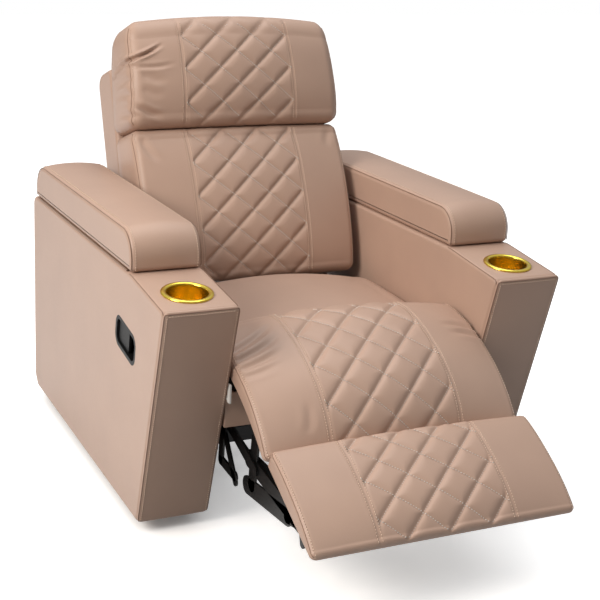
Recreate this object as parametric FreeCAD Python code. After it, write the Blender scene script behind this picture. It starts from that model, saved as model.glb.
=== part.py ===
import FreeCAD, Part
import math
import os
from FreeCAD import Vector

# Cinema recliner seat, in millimetres. +X is to the right seen from the front, the front of the
# chair faces -Y, +Z is up, and the floor is Z = 0. At rest the footrest is out and the back leans.
# Most parts are drawn on the left side, at -X, and mirrored to the right.

# Whole chair
overall_width = 955.0
arm_width = 166.0
arm_clearance = 30.0
half_width = overall_width / 2
inner_face = half_width - arm_width

# Arm outline in the side view
arm_front_top_y = -351.0
arm_front_top_z = 564.0
arm_front_bottom_y = -209.0
arm_rear_y = 664.0
arm_rear_top_z = 560.0
arm_rear_chamfer = 26.0
lid_front_y = -135.0
arm_crest_z = 582.0
arm_panel = 18.0
arm_board = 15.0

# Feet under the arms
foot_top_radius = 30.0
foot_bottom_radius = 25.0
foot_front_y = -118.0
foot_rear_y = 540.0
foot_inset = 106.0

# Storage tray in each arm
tray_front_y = -96.0
tray_rear_y = 580.0
tray_floor_z = 440.0
tray_wall = 4.0
tray_side_room = 11.0

# Lid with its pad
lid_gap = 4.4
lid_rear_y = 642.0
lid_inset = 2.0
lid_board = 10.0
lid_board_inset = 12.0
lid_edge_height = 88.0
lid_crown = 13.0
lid_end_height = 66.0

# Lid hinge
hinge_leaf = 1.2
hinge_leaf_width = 14.0
hinge_radius = 2.0
hinge_pin_radius = 1.0
hinge_knuckles = 7
hinge_margin = 25.0
running_clearance = 0.05
knuckle_gap = 0.5

# Cup holder
cup_y = -258.0
cup_bore_radius = 44.0
cup_wall = 1.5
cup_depth = 76.0
cup_flange_radius = 56.0
cup_flange = 3.0
cup_hole_clearance = 1.0

# Release flap in the left arm
release_y = -109.0
release_z = 425.0
release_length = 138.0
release_height = 74.0
release_corner = 26.0
release_tilt = 8.0
release_depth = 26.0
release_wall = 4.0
release_lip = 9.0
release_fit = 0.3
flap_length = 66.0
flap_thickness = 6.0
flap_gap = 1.5
flap_setback = 5.0
flap_pin_radius = 2.0
flap_knuckle_radius = 4.5

# Base between the arms
tube_size = 38.0
tube_wall = 3.0
tube_z = 62.0
front_tube_y = 60.0
rear_tube_y = 400.0
tube_flange = 5.0
tube_flange_size = 84.0
bolt_head_radius = 8.0
bolt_head = 5.0
bolt_spacing = 62.0
base_rail_width = 18.0
base_rail_height = 32.0
base_rail_front_y = -70.0
base_rail_rear_y = 452.0
slide_travel = 80.0
slide_clearance = 0.4
runner_height = 9.0
runner_length = 90.0
runner_inset = 40.0
runner_end = 10.0

# Mechanism plates: steel layers counted inward from the side plate
plate_outer_x = 268.0
steel = 5.0
layer_gap = 0.6
pin_radius = 5.0
pin_head_radius = 9.0
pin_head = 3.0
link_width = 26.0
front_link_width = 35.0
slim_link_width = 22.0
plate_top_z = 265.0
plate_height = 46.0
plate_rear_y = 408.0
plate_foot_width = 60.0
plate_flange = 38.0
plate_ear = 60.0
bracket_drop = 112.0
bracket_reach = 24.0
brace_reach = 96.0
brace_width = 16.0
tie_tube_inset = 90.0
tie_tube_radius = 12.0
tie_tube_wall = 2.0

# Pivots of the footrest linkage at rest, as (Y, Z)
rear_pivot = (-167.0, 239.0)
idler_pivot = (-103.3, 225.3)
knee_pivot = (-340.0, 185.0)
front_tail = 46.0
stay_share = 0.91
board_pivot_along = 117.0
board_pivot_below = 99.0
stay_pivot_along = 100.0
stay_pivot_below = 70.0

# Seat box
box_board = 20.0
box_top_z = 345.0
box_front_y = -278.0
box_rear_y = 320.0
box_side_clearance = 3.5
webbing = 2.0
webbing_width = 60.0
webbing_count = 6
webbing_lap = 16.0

# Seat cushion and the chaise pad that runs over its front
cushion_side_clearance = 6.0
seat_rear_y = 262.0
seat_split_y = -150.0
seat_top_edge_z = 402.0
seat_crown = 44.0
seat_rear_drop = 16.0
seat_swell = 4.0
seat_pad_gap = 0.5
chaise_start_z = 404.0
chaise_length = 344.0
chaise_slope_rear = 5.0
chaise_slope_front = 45.0
chaise_edge = 26.0
chaise_edge_front = 44.0
chaise_swell = 16.0
chaise_crown = 18.0
chaise_drawn = 0.0
cushion_corner = 16.0
corner_limit = 0.6
least_crown = 1.0
swell_power = 3.2
pad_stations = (0.0, 0.04, 0.14, 0.32, 0.5, 0.68, 0.86, 0.96, 1.0)
cushion_drawn = 4.0

# Quilting: a panel of diamonds between two straight seams
quilt_width_back = 288.0
quilt_width_seat = 315.0
diamond_width = 92.0
diamond_length = 95.0
channel_width = 5.0
channel_depth = 4.0

# Footrest
footrest_rear_y = -513.0
footrest_rear_z = 309.0
footrest_slope = 34.0
footrest_base_slope = 25.4
footrest_length = 249.0
footrest_below = 40.0
footrest_edge_rear = 38.0
footrest_edge_front = 20.0
footrest_swell = 14.0
footrest_crown = 11.0
footrest_board = 12.0
footrest_board_inset = 14.0
bracket_inset = 10.0
bracket_web = 17.0
bracket_flange = 3.0
bracket_flange_width = 15.0
bracket_width = 27.0
stop_tab_width = 22.0
stop_tab_drop = 26.0

# Back: a plane leaning from the base point, with cushions in front of it and a shell behind
back_slope = 70.0
back_base_y = 405.0
back_base_z = 300.0
back_half_width = 285.0
shell_depth = 118.0
shell_panel = 15.0
shell_bottom = -60.0
shell_notch = 40.0
shell_top = 634.0
shell_round = 26.0
lower_back_start = 72.0
back_seam = 453.0
headrest_top = 737.0
back_seam_gap = 1.0
lower_back_edge_bottom = 148.0
seam_edge = 112.0
headrest_edge_top = 96.0
headrest_lean = 30.0
lower_back_swell = 18.0
headrest_swell = 54.0
back_crown = 20.0
back_corner = 24.0
back_pivot_up = -12.0
back_pivot_forward = 6.0
back_bracket_length = 330.0
back_bracket_width = 26.0
back_bracket_root = 35.0
back_elbow = 40.0
upright_bottom = 30.0
frame_top_gap = 1.0
upright_width = 30.0
upright_depth = 28.0
crossrail_height = 40.0
back_rail_share = (0.02, 0.42, 0.94)

# White seat clips beside the front rail
clip_width = 4.0
clip_length = 42.0
clip_depth = 13.0
clip_hole_radius = 1.6
clip_z = 374.0
clip_y = -306.0
clip_stem = 7.0
clip_stem_rise = 3.0
clip_hole_drop = 8.0
clip_clearance = 0.8


def point(x, spot):
    return Vector(x, spot[0], spot[1])


def local(origin, slope, along, above):
    """A place on a sloping line: along it down to the front, and above it square to it."""
    a = math.radians(slope)
    y = origin[0] - along * math.cos(a) - above * math.sin(a)
    z = origin[1] - along * math.sin(a) + above * math.cos(a)
    return (y, z)


def box(x0, x1, y0, y1, z0, z1):
    return Part.makeBox(x1 - x0, y1 - y0, z1 - z0, Vector(x0, y0, z0))


def plate(outline, x0, x1):
    """A closed outline of (Y, Z) places, extruded along X."""
    wire = Part.makePolygon([point(x0, p) for p in outline + outline[:1]])
    return Part.Face(wire).extrude(Vector(x1 - x0, 0, 0))


def rod(start, end, radius):
    axis = end - start
    return Part.makeCylinder(radius, axis.Length, start, axis)


def mirrored(shape):
    return shape.mirror(Vector(0, 0, 0), Vector(1, 0, 0))


def pair(shape):
    return [shape, mirrored(shape)]


def bar(start, end, x0, x1, width, holes):
    """A flat link with round ends, and holes given as (place, radius)."""
    reach = Vector(0, end[0] - start[0], end[1] - start[1])
    side = Vector(0, -reach.z, reach.y).normalize() * (width / 2)
    a = point(x0, start)
    b = point(x0, end)
    tip = reach.normalize() * (width / 2)
    edges = [
        Part.makeLine(a + side, b + side),
        Part.Arc(b + side, b + tip, b - side).toShape(),
        Part.makeLine(b - side, a - side),
        Part.Arc(a - side, a - tip, a + side).toShape(),
    ]
    link = Part.Face(Part.Wire(edges)).extrude(Vector(x1 - x0, 0, 0))
    for spot, radius in holes:
        link = link.cut(rod(point(x0 - 1, spot), point(x1 + 1, spot), radius))
    return link


def layer(number):
    """Outer and inner X of a steel layer on the left side, 0 being the side plate."""
    outer = -plate_outer_x + number * (steel + layer_gap)
    return outer, outer + steel


def section(base, slope, half, edge, crown, corner, under=0.0):
    """One cross section of a cushion: flat base, upright sides, round corners, crowned top."""
    cut = corner * (1 - math.sqrt(0.5))

    def place(x, above):
        return point(x, local(base, slope, 0, above))

    def arc(start, middle, end):
        return Part.Arc(place(*start), place(*middle), place(*end)).toShape()

    side = edge - corner
    edges = [
        Part.makeLine(place(-half, -under), place(half, -under)),
        Part.makeLine(place(half, -under), place(half, side)),
        arc((half, side), (half - cut, edge - cut), (half - corner, edge)),
        arc((half - corner, edge), (0, edge + crown), (corner - half, edge)),
        arc((corner - half, edge), (cut - half, edge - cut), (-half, side)),
        Part.makeLine(place(-half, side), place(-half, -under)),
    ]
    return Part.Wire(edges)


def swell_share(t):
    """How full a cushion is at a share t of its length: nothing at its ends, all in the middle."""
    return (1 - abs(2 * t - 1) ** swell_power) ** (1 / swell_power)


class Pad:
    """A crowned pad along a straight or bending base line, whose sides draw in between its ends."""

    def __init__(self, base, slopes, length, half, edges, swell, crown, corner, drawn):
        self.base = base
        self.slopes = slopes
        self.length = length
        self.half = half
        self.edges = edges
        self.swell = swell
        self.crown = crown
        self.corner = corner
        self.drawn = drawn

    def line(self, along):
        """Place and slope of the base line at a distance along it."""
        first, last = self.slopes
        if first == last:
            return local(self.base, first, along, 0), first
        slope = first + (last - first) * along / self.length
        bend = self.length / math.radians(last - first)
        a = math.radians(first)
        b = math.radians(slope)
        y = self.base[0] - bend * (math.sin(b) - math.sin(a))
        z = self.base[1] + bend * (math.cos(b) - math.cos(a))
        return (y, z), slope

    def solid(self, lower=0.0):
        """The pad, or a core with its top lowered that reaches past the pad's other faces."""
        past = 2 * lower
        wires = []
        for t in pad_stations:
            along = t * self.length
            if t in (0.0, 1.0):
                along += (2 * t - 1) * past
            spot, slope = self.line(along)
            full = swell_share(t)
            edge = self.edges[0] + (self.edges[1] - self.edges[0]) * t + self.swell * full
            width = self.half + past - self.drawn * math.sin(math.pi * t)
            corner = min(self.corner, edge * corner_limit)
            crown = max(self.crown * full, least_crown)
            wires.append(section(spot, slope, width, edge - lower, crown, corner, past))
        return Part.makeLoft(wires, True, False)

    def quilted(self, width):
        """The pad with sewn channels in a panel along its middle."""
        middle, slope = self.line(self.length / 2)
        grid = quilt_grid(middle, slope, self.length, width)
        return self.solid().cut(grid.cut(self.solid(channel_depth)))


def quilt_grid(middle, slope, length, width):
    """Thin slabs along the diagonals of the diamonds, and along the seams at both sides."""
    half = width / 2
    reach = length
    turn = math.degrees(math.atan2(diamond_width, diamond_length))
    step = diamond_width * math.cos(math.radians(turn))
    count = int((half + length / 2 * diamond_width / diamond_length) / diamond_width) + 1
    grid = box(-half - channel_width / 2, -half + channel_width / 2, -length, length, -reach, reach)
    grid = grid.fuse(mirrored(grid))
    frame = box(-half, half, -length, length, -reach, reach)
    slabs = []
    for side in (-1, 1):
        for k in range(-count, count + 1):
            at = (k + 0.5) * step
            slab = box(at - channel_width / 2, at + channel_width / 2, -2 * length, 2 * length, -reach, reach)
            slab.rotate(Vector(0, 0, 0), Vector(0, 0, 1), side * turn)
            slabs.append(slab)
    grid = grid.fuse(slabs[0].fuse(slabs[1:]).common(frame))
    grid.rotate(Vector(0, 0, 0), Vector(1, 0, 0), slope)
    grid.translate(point(0, middle))
    return grid


def arm_top(y):
    """Height of the arm's top at a distance along the arm."""
    if y < lid_front_y:
        share = (y - arm_front_top_y) / (lid_front_y - arm_front_top_y)
        return arm_front_top_z + share * (arm_crest_z - arm_front_top_z)
    share = (y - lid_front_y) / (arm_rear_y - lid_front_y)
    return arm_crest_z + share * (arm_rear_top_z - arm_crest_z)


def arm_side(x0, x1):
    outline = [
        (arm_front_top_y, arm_front_top_z),
        (arm_front_bottom_y, arm_clearance),
        (arm_rear_y - arm_rear_chamfer, arm_clearance),
        (arm_rear_y, arm_clearance + arm_rear_chamfer),
        (arm_rear_y, arm_rear_top_z),
        (lid_front_y, arm_crest_z),
    ]
    return plate(outline, x0, x1)


arm_cavity = (-half_width + arm_panel, -inner_face - arm_panel)
arm_middle = -half_width + arm_width / 2


def release_place(along, up, x):
    """A place in the release flap's tilted frame: along towards the front, up, and X."""
    a = math.radians(release_tilt)
    y = release_y - along * math.cos(a) - up * math.sin(a)
    z = release_z - along * math.sin(a) + up * math.cos(a)
    return Vector(x, y, z)


def release_block(length, height, corner, x0, x1):
    """A block with rounded corners in the release flap's frame."""
    block = Part.makeBox(x1 - x0, length, height, Vector(x0, -length / 2, -height / 2))
    along_x = [e for e in block.Edges if abs(e.tangentAt(e.FirstParameter).x) > 0.9]
    block = block.makeFillet(corner, along_x)
    block.rotate(Vector(0, 0, 0), Vector(1, 0, 0), release_tilt)
    block.translate(release_place(0, 0, 0))
    return block


def outer_panel(side):
    panel = arm_side(-half_width, -half_width + arm_panel)
    if side == "left":
        grow = 2 * release_fit
        hole = release_block(release_length + grow, release_height + grow, release_corner,
                             -half_width - 1, -half_width + arm_panel + 1)
        return panel.cut(hole)
    return mirrored(panel)


def board_corner():
    """The front corner of the top board's underside, which lies on the arm's leaning front."""
    lean = (arm_front_bottom_y - arm_front_top_y) / (arm_front_top_z - arm_clearance)
    return arm_front_top_y + lean * arm_board, arm_front_top_z - arm_board


def front_panel():
    top_y, top_z = board_corner()
    rise = (arm_crest_z - arm_board - top_z) / (lid_front_y - top_y)
    lean = math.atan2(arm_front_bottom_y - arm_front_top_y, arm_front_top_z - arm_clearance)
    back = arm_panel / math.cos(lean)
    outline = [
        (top_y, top_z),
        (arm_front_bottom_y, arm_clearance),
        (arm_front_bottom_y + back, arm_clearance),
        (top_y + back, top_z + rise * back),
    ]
    return plate(outline, *arm_cavity)


def rear_panel():
    y0 = arm_rear_y - arm_panel
    outline = [
        (y0, arm_clearance + arm_rear_chamfer),
        (arm_rear_y, arm_clearance + arm_rear_chamfer),
        (arm_rear_y, arm_top(arm_rear_y) - arm_board),
        (y0, arm_top(y0) - arm_board),
    ]
    return plate(outline, *arm_cavity)


def tray_sides():
    return arm_cavity[0] + tray_side_room, arm_cavity[1] - tray_side_room


def cup_frame():
    """Centre of the cup's mouth on the arm's top, and the direction out of it."""
    rise = math.atan2(arm_crest_z - arm_front_top_z, lid_front_y - arm_front_top_y)
    out = Vector(0, -math.sin(rise), math.cos(rise))
    return Vector(arm_middle, cup_y, arm_top(cup_y)), out


def top_board():
    outline = [
        (arm_front_top_y, arm_front_top_z),
        board_corner(),
        (lid_front_y, arm_crest_z - arm_board),
        (arm_rear_y, arm_rear_top_z - arm_board),
        (arm_rear_y, arm_rear_top_z),
        (lid_front_y, arm_crest_z),
    ]
    board = plate(outline, *arm_cavity)
    x0, x1 = tray_sides()
    opening = box(x0 + tray_wall, x1 - tray_wall, tray_front_y + tray_wall, tray_rear_y - tray_wall,
                  arm_rear_top_z - 3 * arm_board, arm_crest_z + arm_board)
    mouth, out = cup_frame()
    hole = rod(mouth - out * 3 * arm_board, mouth + out * arm_board,
               cup_bore_radius + cup_wall + cup_hole_clearance)
    return board.cut(opening).cut(hole)


def storage_tray():
    x0, x1 = tray_sides()
    outline = [
        (tray_front_y, tray_floor_z),
        (tray_rear_y, tray_floor_z),
        (tray_rear_y, arm_top(tray_rear_y) - arm_board),
        (tray_front_y, arm_top(tray_front_y) - arm_board),
    ]
    body = plate(outline, x0, x1)
    well = box(x0 + tray_wall, x1 - tray_wall, tray_front_y + tray_wall, tray_rear_y - tray_wall,
               tray_floor_z + tray_wall, arm_crest_z + arm_board)
    return body.cut(well)


def cup_holder():
    """A drawn metal cup with a flange and a rolled rim."""
    mouth, out = cup_frame()
    outer = cup_bore_radius + cup_wall
    roll = cup_flange / 2
    profile = [
        (0, -cup_depth - cup_wall),
        (outer, -cup_depth - cup_wall),
        (outer, 0),
        (cup_flange_radius - roll, 0),
    ]
    profile_back = [
        (cup_flange_radius - roll, cup_flange),
        (cup_bore_radius + roll, cup_flange),
        (cup_bore_radius, cup_flange - roll),
        (cup_bore_radius, -cup_depth),
        (0, -cup_depth),
        (0, -cup_depth - cup_wall),
    ]

    def spot(p):
        return Vector(p[0], 0, p[1])

    edges = []
    for a, b in zip(profile, profile[1:]):
        edges.append(Part.makeLine(spot(a), spot(b)))
    bulge = Vector(cup_flange_radius, 0, roll)
    edges.append(Part.Arc(spot(profile[-1]), bulge, spot(profile_back[0])).toShape())
    for a, b in zip(profile_back, profile_back[1:]):
        edges.append(Part.makeLine(spot(a), spot(b)))
    cup = Part.Face(Part.Wire(edges)).revolve(Vector(0, 0, 0), Vector(0, 0, 1), 360)
    tilt = math.degrees(math.atan2(-out.y, out.z))
    cup.rotate(Vector(0, 0, 0), Vector(1, 0, 0), tilt)
    cup.translate(mouth)
    return cup


def lid_line():
    """Slope of the lid's base line, in degrees down to the rear."""
    return math.degrees(math.atan2(arm_crest_z - arm_rear_top_z, arm_rear_y - lid_front_y))


def lid_base(y):
    return arm_top(y) + lid_gap


def lid_board_solid():
    x0 = -half_width + lid_board_inset
    x1 = -inner_face - lid_board_inset
    y0 = lid_front_y + lid_board_inset
    y1 = lid_rear_y - lid_board_inset
    outline = [
        (y0, lid_base(y0)),
        (y1, lid_base(y1)),
        (y1, lid_base(y1) + lid_board),
        (y0, lid_base(y0) + lid_board),
    ]
    return plate(outline, x0, x1)


def lid_pad():
    """The arm pad, drawn from its rear end to its front end."""
    slope = -lid_line()
    rear = (lid_rear_y, lid_base(lid_rear_y))
    length = (lid_rear_y - lid_front_y) / math.cos(math.radians(slope))
    half = arm_width / 2 - lid_inset
    swell = lid_edge_height - lid_end_height
    pad = Pad(rear, (slope, slope), length, half, (lid_end_height, lid_end_height), swell,
              lid_crown, cushion_corner, 0.0).solid()
    pad.translate(Vector(arm_middle, 0, 0))
    return pad.cut(lid_board_solid())


def hinge_frame():
    """Ends of the lid hinge's axis, on the arm's outer edge."""
    y0 = lid_front_y + hinge_margin
    y1 = lid_rear_y - hinge_margin
    x = -half_width + hinge_radius
    rise = lid_gap / 2
    return Vector(x, y0, arm_top(y0) + rise), Vector(x, y1, arm_top(y1) + rise)


def hinge_leaf_solid(on_lid):
    """One leaf of the long lid hinge, with every other knuckle."""
    start, end = hinge_frame()
    run = end - start
    step = run / (2 * hinge_knuckles + 1)
    first = 1 if on_lid else 0
    unit = Vector(run.x, run.y, run.z).normalize()
    outline = []
    low = lid_gap / 2 - hinge_leaf if on_lid else -lid_gap / 2
    for spot in (start, end):
        outline.append((spot.y, spot.z + low))
    for spot in (end, start):
        outline.append((spot.y, spot.z + low + hinge_leaf))
    leaf = plate(outline, start.x, start.x + hinge_leaf_width)
    leaf = leaf.cut(rod(start - unit, end + unit, hinge_radius + knuckle_gap))
    for k in range(2 * hinge_knuckles + 1):
        if k % 2 != first:
            continue
        a = start + step * k + unit * (knuckle_gap / 2)
        b = start + step * (k + 1) - unit * (knuckle_gap / 2)
        knuckle = rod(a, b, hinge_radius)
        span = plate([(a.y, a.z + low), (b.y, b.z + low), (b.y, b.z + low + hinge_leaf),
                      (a.y, a.z + low + hinge_leaf)], start.x, start.x + 2 * hinge_radius)
        leaf = leaf.fuse(knuckle).fuse(span)
    bore = hinge_pin_radius + running_clearance
    return leaf.cut(rod(start - unit, end + unit, bore)).removeSplitter()


def hinge_pin():
    start, end = hinge_frame()
    return rod(start, end, hinge_pin_radius)


def feet():
    height = arm_clearance
    solids = []
    for y in (foot_front_y, foot_rear_y):
        x = -half_width + foot_inset
        foot = Part.makeCone(foot_bottom_radius, foot_top_radius, height, Vector(x, y, 0))
        solids += pair(foot)
    return solids


def foot_blocks():
    """Timber blocks in the foot of each arm that the feet are screwed to."""
    solids = []
    for y in (foot_front_y, foot_rear_y):
        block = box(arm_cavity[0], arm_cavity[1], y - 2 * foot_top_radius, y + foot_top_radius,
                    arm_clearance, arm_clearance + arm_panel)
        solids += pair(block)
    return solids


def release_housing():
    """The recessed black housing that the release flap swings in."""
    x0 = -half_width
    x1 = x0 + release_depth
    body = release_block(release_length, release_height, release_corner, x0, x1)
    inner_length = release_length - 2 * release_lip
    inner_height = release_height - 2 * release_lip
    inner_corner = release_corner - release_lip
    cavity = release_block(inner_length, inner_height, inner_corner, x0 - 1, x1 - release_wall)
    bore = rod(flap_axis()[0], flap_axis()[1], flap_pin_radius)
    return body.cut(cavity).cut(bore)


def flap_axis():
    """Ends of the release flap's pin, which runs up and down at the flap's rear edge."""
    inner_height = release_height - 2 * release_lip
    rear = -(release_length / 2 - release_lip - flap_knuckle_radius - flap_gap)
    x = -half_width + flap_setback + flap_knuckle_radius
    reach = inner_height / 2 + release_lip / 2
    return release_place(rear, -reach, x), release_place(rear, reach, x)


def release_flap():
    low, high = flap_axis()
    inner_height = release_height - 2 * release_lip - 2 * flap_gap
    rear = -(release_length / 2 - release_lip - flap_knuckle_radius - flap_gap)
    x = low.x
    leaf = Part.makeBox(flap_thickness, flap_length, inner_height,
                        Vector(x - flap_knuckle_radius, -flap_length, -inner_height / 2))
    knuckle = rod(Vector(x, 0, -inner_height / 2), Vector(x, 0, inner_height / 2), flap_knuckle_radius)
    flap = leaf.fuse(knuckle).removeSplitter()
    flap.rotate(Vector(0, 0, 0), Vector(1, 0, 0), release_tilt)
    flap.translate(release_place(rear, 0, 0))
    room = release_block(release_length - 2 * (release_lip + flap_gap), inner_height,
                         release_corner - release_lip - flap_gap, x - release_depth, x + release_depth)
    return flap.common(room).cut(rod(low, high, flap_pin_radius + running_clearance))


def flap_pin():
    low, high = flap_axis()
    return rod(low, high, flap_pin_radius)


def cross_tube(y):
    """A square steel tube between the arms, with a bolted flange at each end."""
    reach = inner_face
    z0 = tube_z
    z1 = tube_z + tube_size
    tube = box(-reach, reach, y, y + tube_size, z0, z1)
    hollow = box(-reach + tube_flange, reach - tube_flange, y + tube_wall, y + tube_size - tube_wall,
                 z0 + tube_wall, z1 - tube_wall)
    tube = tube.cut(hollow)
    middle = y + tube_size / 2
    half = tube_flange_size / 2
    for side in (-1, 1):
        x0 = min(side * reach, side * (reach - tube_flange))
        flange = box(x0, x0 + tube_flange, middle - half, middle + half, z0, z1)
        tube = tube.fuse(flange)
    return tube.removeSplitter()


def flange_bolts():
    """Domed bolt heads on the tube flanges."""
    solids = []
    for y in (front_tube_y, rear_tube_y):
        for shift in (-bolt_spacing / 2, bolt_spacing / 2):
            x = -inner_face + tube_flange
            spot = Vector(x, y + tube_size / 2 + shift, tube_z + tube_size / 2)
            solids += pair(rod(spot, spot + Vector(bolt_head, 0, 0), bolt_head_radius))
    return solids


def base_rail():
    """A fixed rail on the cross tubes that the seat carriage slides along."""
    x1 = -plate_outer_x
    x0 = x1 - base_rail_width
    z0 = tube_z + tube_size
    return box(x0, x1, base_rail_front_y, base_rail_rear_y, z0, z0 + base_rail_height)


def runner(y):
    """A plastic runner under the side plate's flange, riding on the rail."""
    x1 = -plate_outer_x
    z0 = tube_z + tube_size + base_rail_height + slide_clearance
    return box(x1 - base_rail_width, x1, y, y + runner_length, z0, z0 + runner_height)


def runner_places():
    first = base_rail_front_y + runner_inset
    last = base_rail_rear_y - slide_travel - runner_length - runner_end
    return first, last


def side_plate():
    """The seat carriage's steel side plate, with feet on the runners and pivots at both ends."""
    x0, x1 = layer(0)
    low = plate_top_z - plate_height
    nose = rear_pivot[0] - link_width / 2
    body = box(x0, x1, nose, plate_rear_y, low, plate_top_z)
    foot_top = tube_z + tube_size + base_rail_height + slide_clearance + runner_height
    for y in runner_places():
        middle = y + runner_length / 2
        leg = box(x0, x1, middle - plate_foot_width / 2, middle + plate_foot_width / 2, foot_top, low + 1)
        pad = box(x0 - base_rail_width, x1, y, y + runner_length, foot_top, foot_top + steel)
        body = body.fuse(leg).fuse(pad)
    ear_y = plate_rear_y - plate_ear
    shelf = box(x0 - plate_flange, x1, nose + link_width, ear_y, plate_top_z - steel, plate_top_z)
    spot = local((back_base_y, back_base_z), back_slope, -back_pivot_up, back_pivot_forward)
    middle_z = low + plate_height / 2
    ear = bar((ear_y, middle_z), spot, x0, x1, plate_height, [])
    corner = (idler_pivot[0] - bracket_reach, plate_top_z - bracket_drop)
    drop = bar((idler_pivot[0], middle_z), corner, x0, x1, link_width, [])
    brace = bar(corner, (idler_pivot[0] + brace_reach, middle_z), x0, x1, brace_width, [])
    body = body.fuse([shelf, ear, drop, brace])
    for place in (rear_pivot, idler_pivot, spot):
        body = body.cut(rod(point(x0 - 1, place), point(x1 + 1, place), pin_radius))
    return body.removeSplitter()


def pin(place, first, last, head_on_last=True):
    """A riveted pivot pin from layer first to layer last, with a head past the last."""
    x0 = layer(first)[0]
    x1 = layer(last)[1] + layer_gap / 2
    shank = rod(point(x0, place), point(x1, place), pin_radius)
    if not head_on_last:
        return shank
    head = rod(point(x1, place), point(x1 + pin_head, place), pin_head_radius)
    return shank.fuse(head).removeSplitter()


def linkage():
    """Places of the footrest linkage at rest."""
    corner = (footrest_rear_y, footrest_rear_z)
    board = local(corner, footrest_slope, board_pivot_along, -board_pivot_below)
    stay_end = local(corner, footrest_slope, stay_pivot_along, -stay_pivot_below)
    reach = math.dist(knee_pivot, board)
    tail = tuple(k - front_tail * (b - k) / reach for k, b in zip(knee_pivot, board))
    stay_start = tuple(i + stay_share * (t - i) for i, t in zip(idler_pivot, tail))
    return {"board": board, "stay_end": stay_end, "tail": tail, "stay_start": stay_start}


def rear_link():
    x0, x1 = layer(1)
    holes = [(rear_pivot, pin_radius + running_clearance), (knee_pivot, pin_radius)]
    return bar(rear_pivot, knee_pivot, x0, x1, link_width, holes)


def front_link():
    spots = linkage()
    x0, x1 = layer(2)
    holes = [(knee_pivot, pin_radius + running_clearance), (spots["board"], pin_radius)]
    return bar(spots["tail"], spots["board"], x0, x1, front_link_width, holes)


def idler_link():
    spots = linkage()
    x0, x1 = layer(3)
    holes = [(idler_pivot, pin_radius + running_clearance), (spots["stay_start"], pin_radius)]
    return bar(idler_pivot, spots["tail"], x0, x1, slim_link_width, holes)


def stay_link():
    spots = linkage()
    x0, x1 = layer(4)
    holes = [(spots["stay_start"], pin_radius + running_clearance)]
    return bar(spots["stay_start"], spots["stay_end"], x0, x1, slim_link_width, holes)


def footrest_frame(along, above):
    return local((footrest_rear_y, footrest_rear_z), footrest_slope, along, above)


def footrest_under(along, above):
    """A place measured from the footrest's underside, which slopes less than its top."""
    return local(footrest_frame(0, -footrest_below), footrest_base_slope, along, above)


def footrest_slab(near, far, top, bottom):
    """Outline of a strip that lies along the footrest's underside."""
    return [
        footrest_under(near, top),
        footrest_under(far, top),
        footrest_under(far, bottom),
        footrest_under(near, bottom),
    ]


def footrest_bracket():
    """A steel angle under the footrest board with an ear for the two pivots and a stop tab."""
    spots = linkage()
    x0, x1 = layer(3)
    top = -footrest_board
    near = footrest_board_inset + bracket_inset
    far = footrest_length - footrest_board_inset - bracket_inset
    low = top - bracket_web
    body = plate(footrest_slab(near, far, top, low), x0, x1)
    body = body.fuse(plate(footrest_slab(near, far, top, top - bracket_flange), x0 - bracket_flange_width, x1))
    root = footrest_under(board_pivot_along, low)
    for spot in (spots["board"], spots["stay_end"]):
        body = body.fuse(bar(root, spot, x0, x1, bracket_width, []))
    tab_top = footrest_under(far - stop_tab_width, low)
    tab_foot = footrest_under(far - stop_tab_width / 2, low - stop_tab_drop)
    tab = bar(tab_top, tab_foot, x0, x1, stop_tab_width, [])
    body = body.fuse(tab)
    hole = rod(point(x0 - 1, spots["board"]), point(x1 + 1, spots["board"]), pin_radius + running_clearance)
    return body.cut(hole).removeSplitter()


def footrest_board_solid():
    half = inner_face - cushion_side_clearance - footrest_board_inset
    outline = footrest_slab(footrest_board_inset, footrest_length - footrest_board_inset, 0, -footrest_board)
    return plate(outline, -half, half)


def footrest_cushion():
    half = inner_face - cushion_side_clearance
    slopes = (footrest_base_slope, footrest_base_slope)
    edges = (footrest_edge_rear, footrest_edge_front)
    pad = Pad(footrest_under(0, 0), slopes, footrest_length, half, edges, footrest_swell,
              footrest_crown, cushion_corner, cushion_drawn)
    return pad.quilted(quilt_width_seat)


def seat_half():
    return inner_face - box_side_clearance


def front_rail():
    return box(-seat_half(), seat_half(), box_front_y, box_front_y + box_board, plate_top_z, box_top_z)


def box_side():
    return box(-seat_half(), -seat_half() + box_board, box_front_y + box_board, box_rear_y,
               plate_top_z, box_top_z)


def box_rear():
    return box(-seat_half() + box_board, seat_half() - box_board, box_rear_y - box_board, box_rear_y,
               plate_top_z, box_top_z)


def seat_webbing():
    """Elastic straps tacked across the seat box from front to rear."""
    solids = []
    room = 2 * (seat_half() - box_board) - webbing_width
    for k in range(webbing_count):
        x = -room / 2 + room * k / (webbing_count - 1)
        strap = box(x - webbing_width / 2, x + webbing_width / 2, box_front_y + box_board - webbing_lap,
                    box_rear_y - box_board + webbing_lap, box_top_z, box_top_z + webbing)
        solids.append(strap)
    return solids


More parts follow.
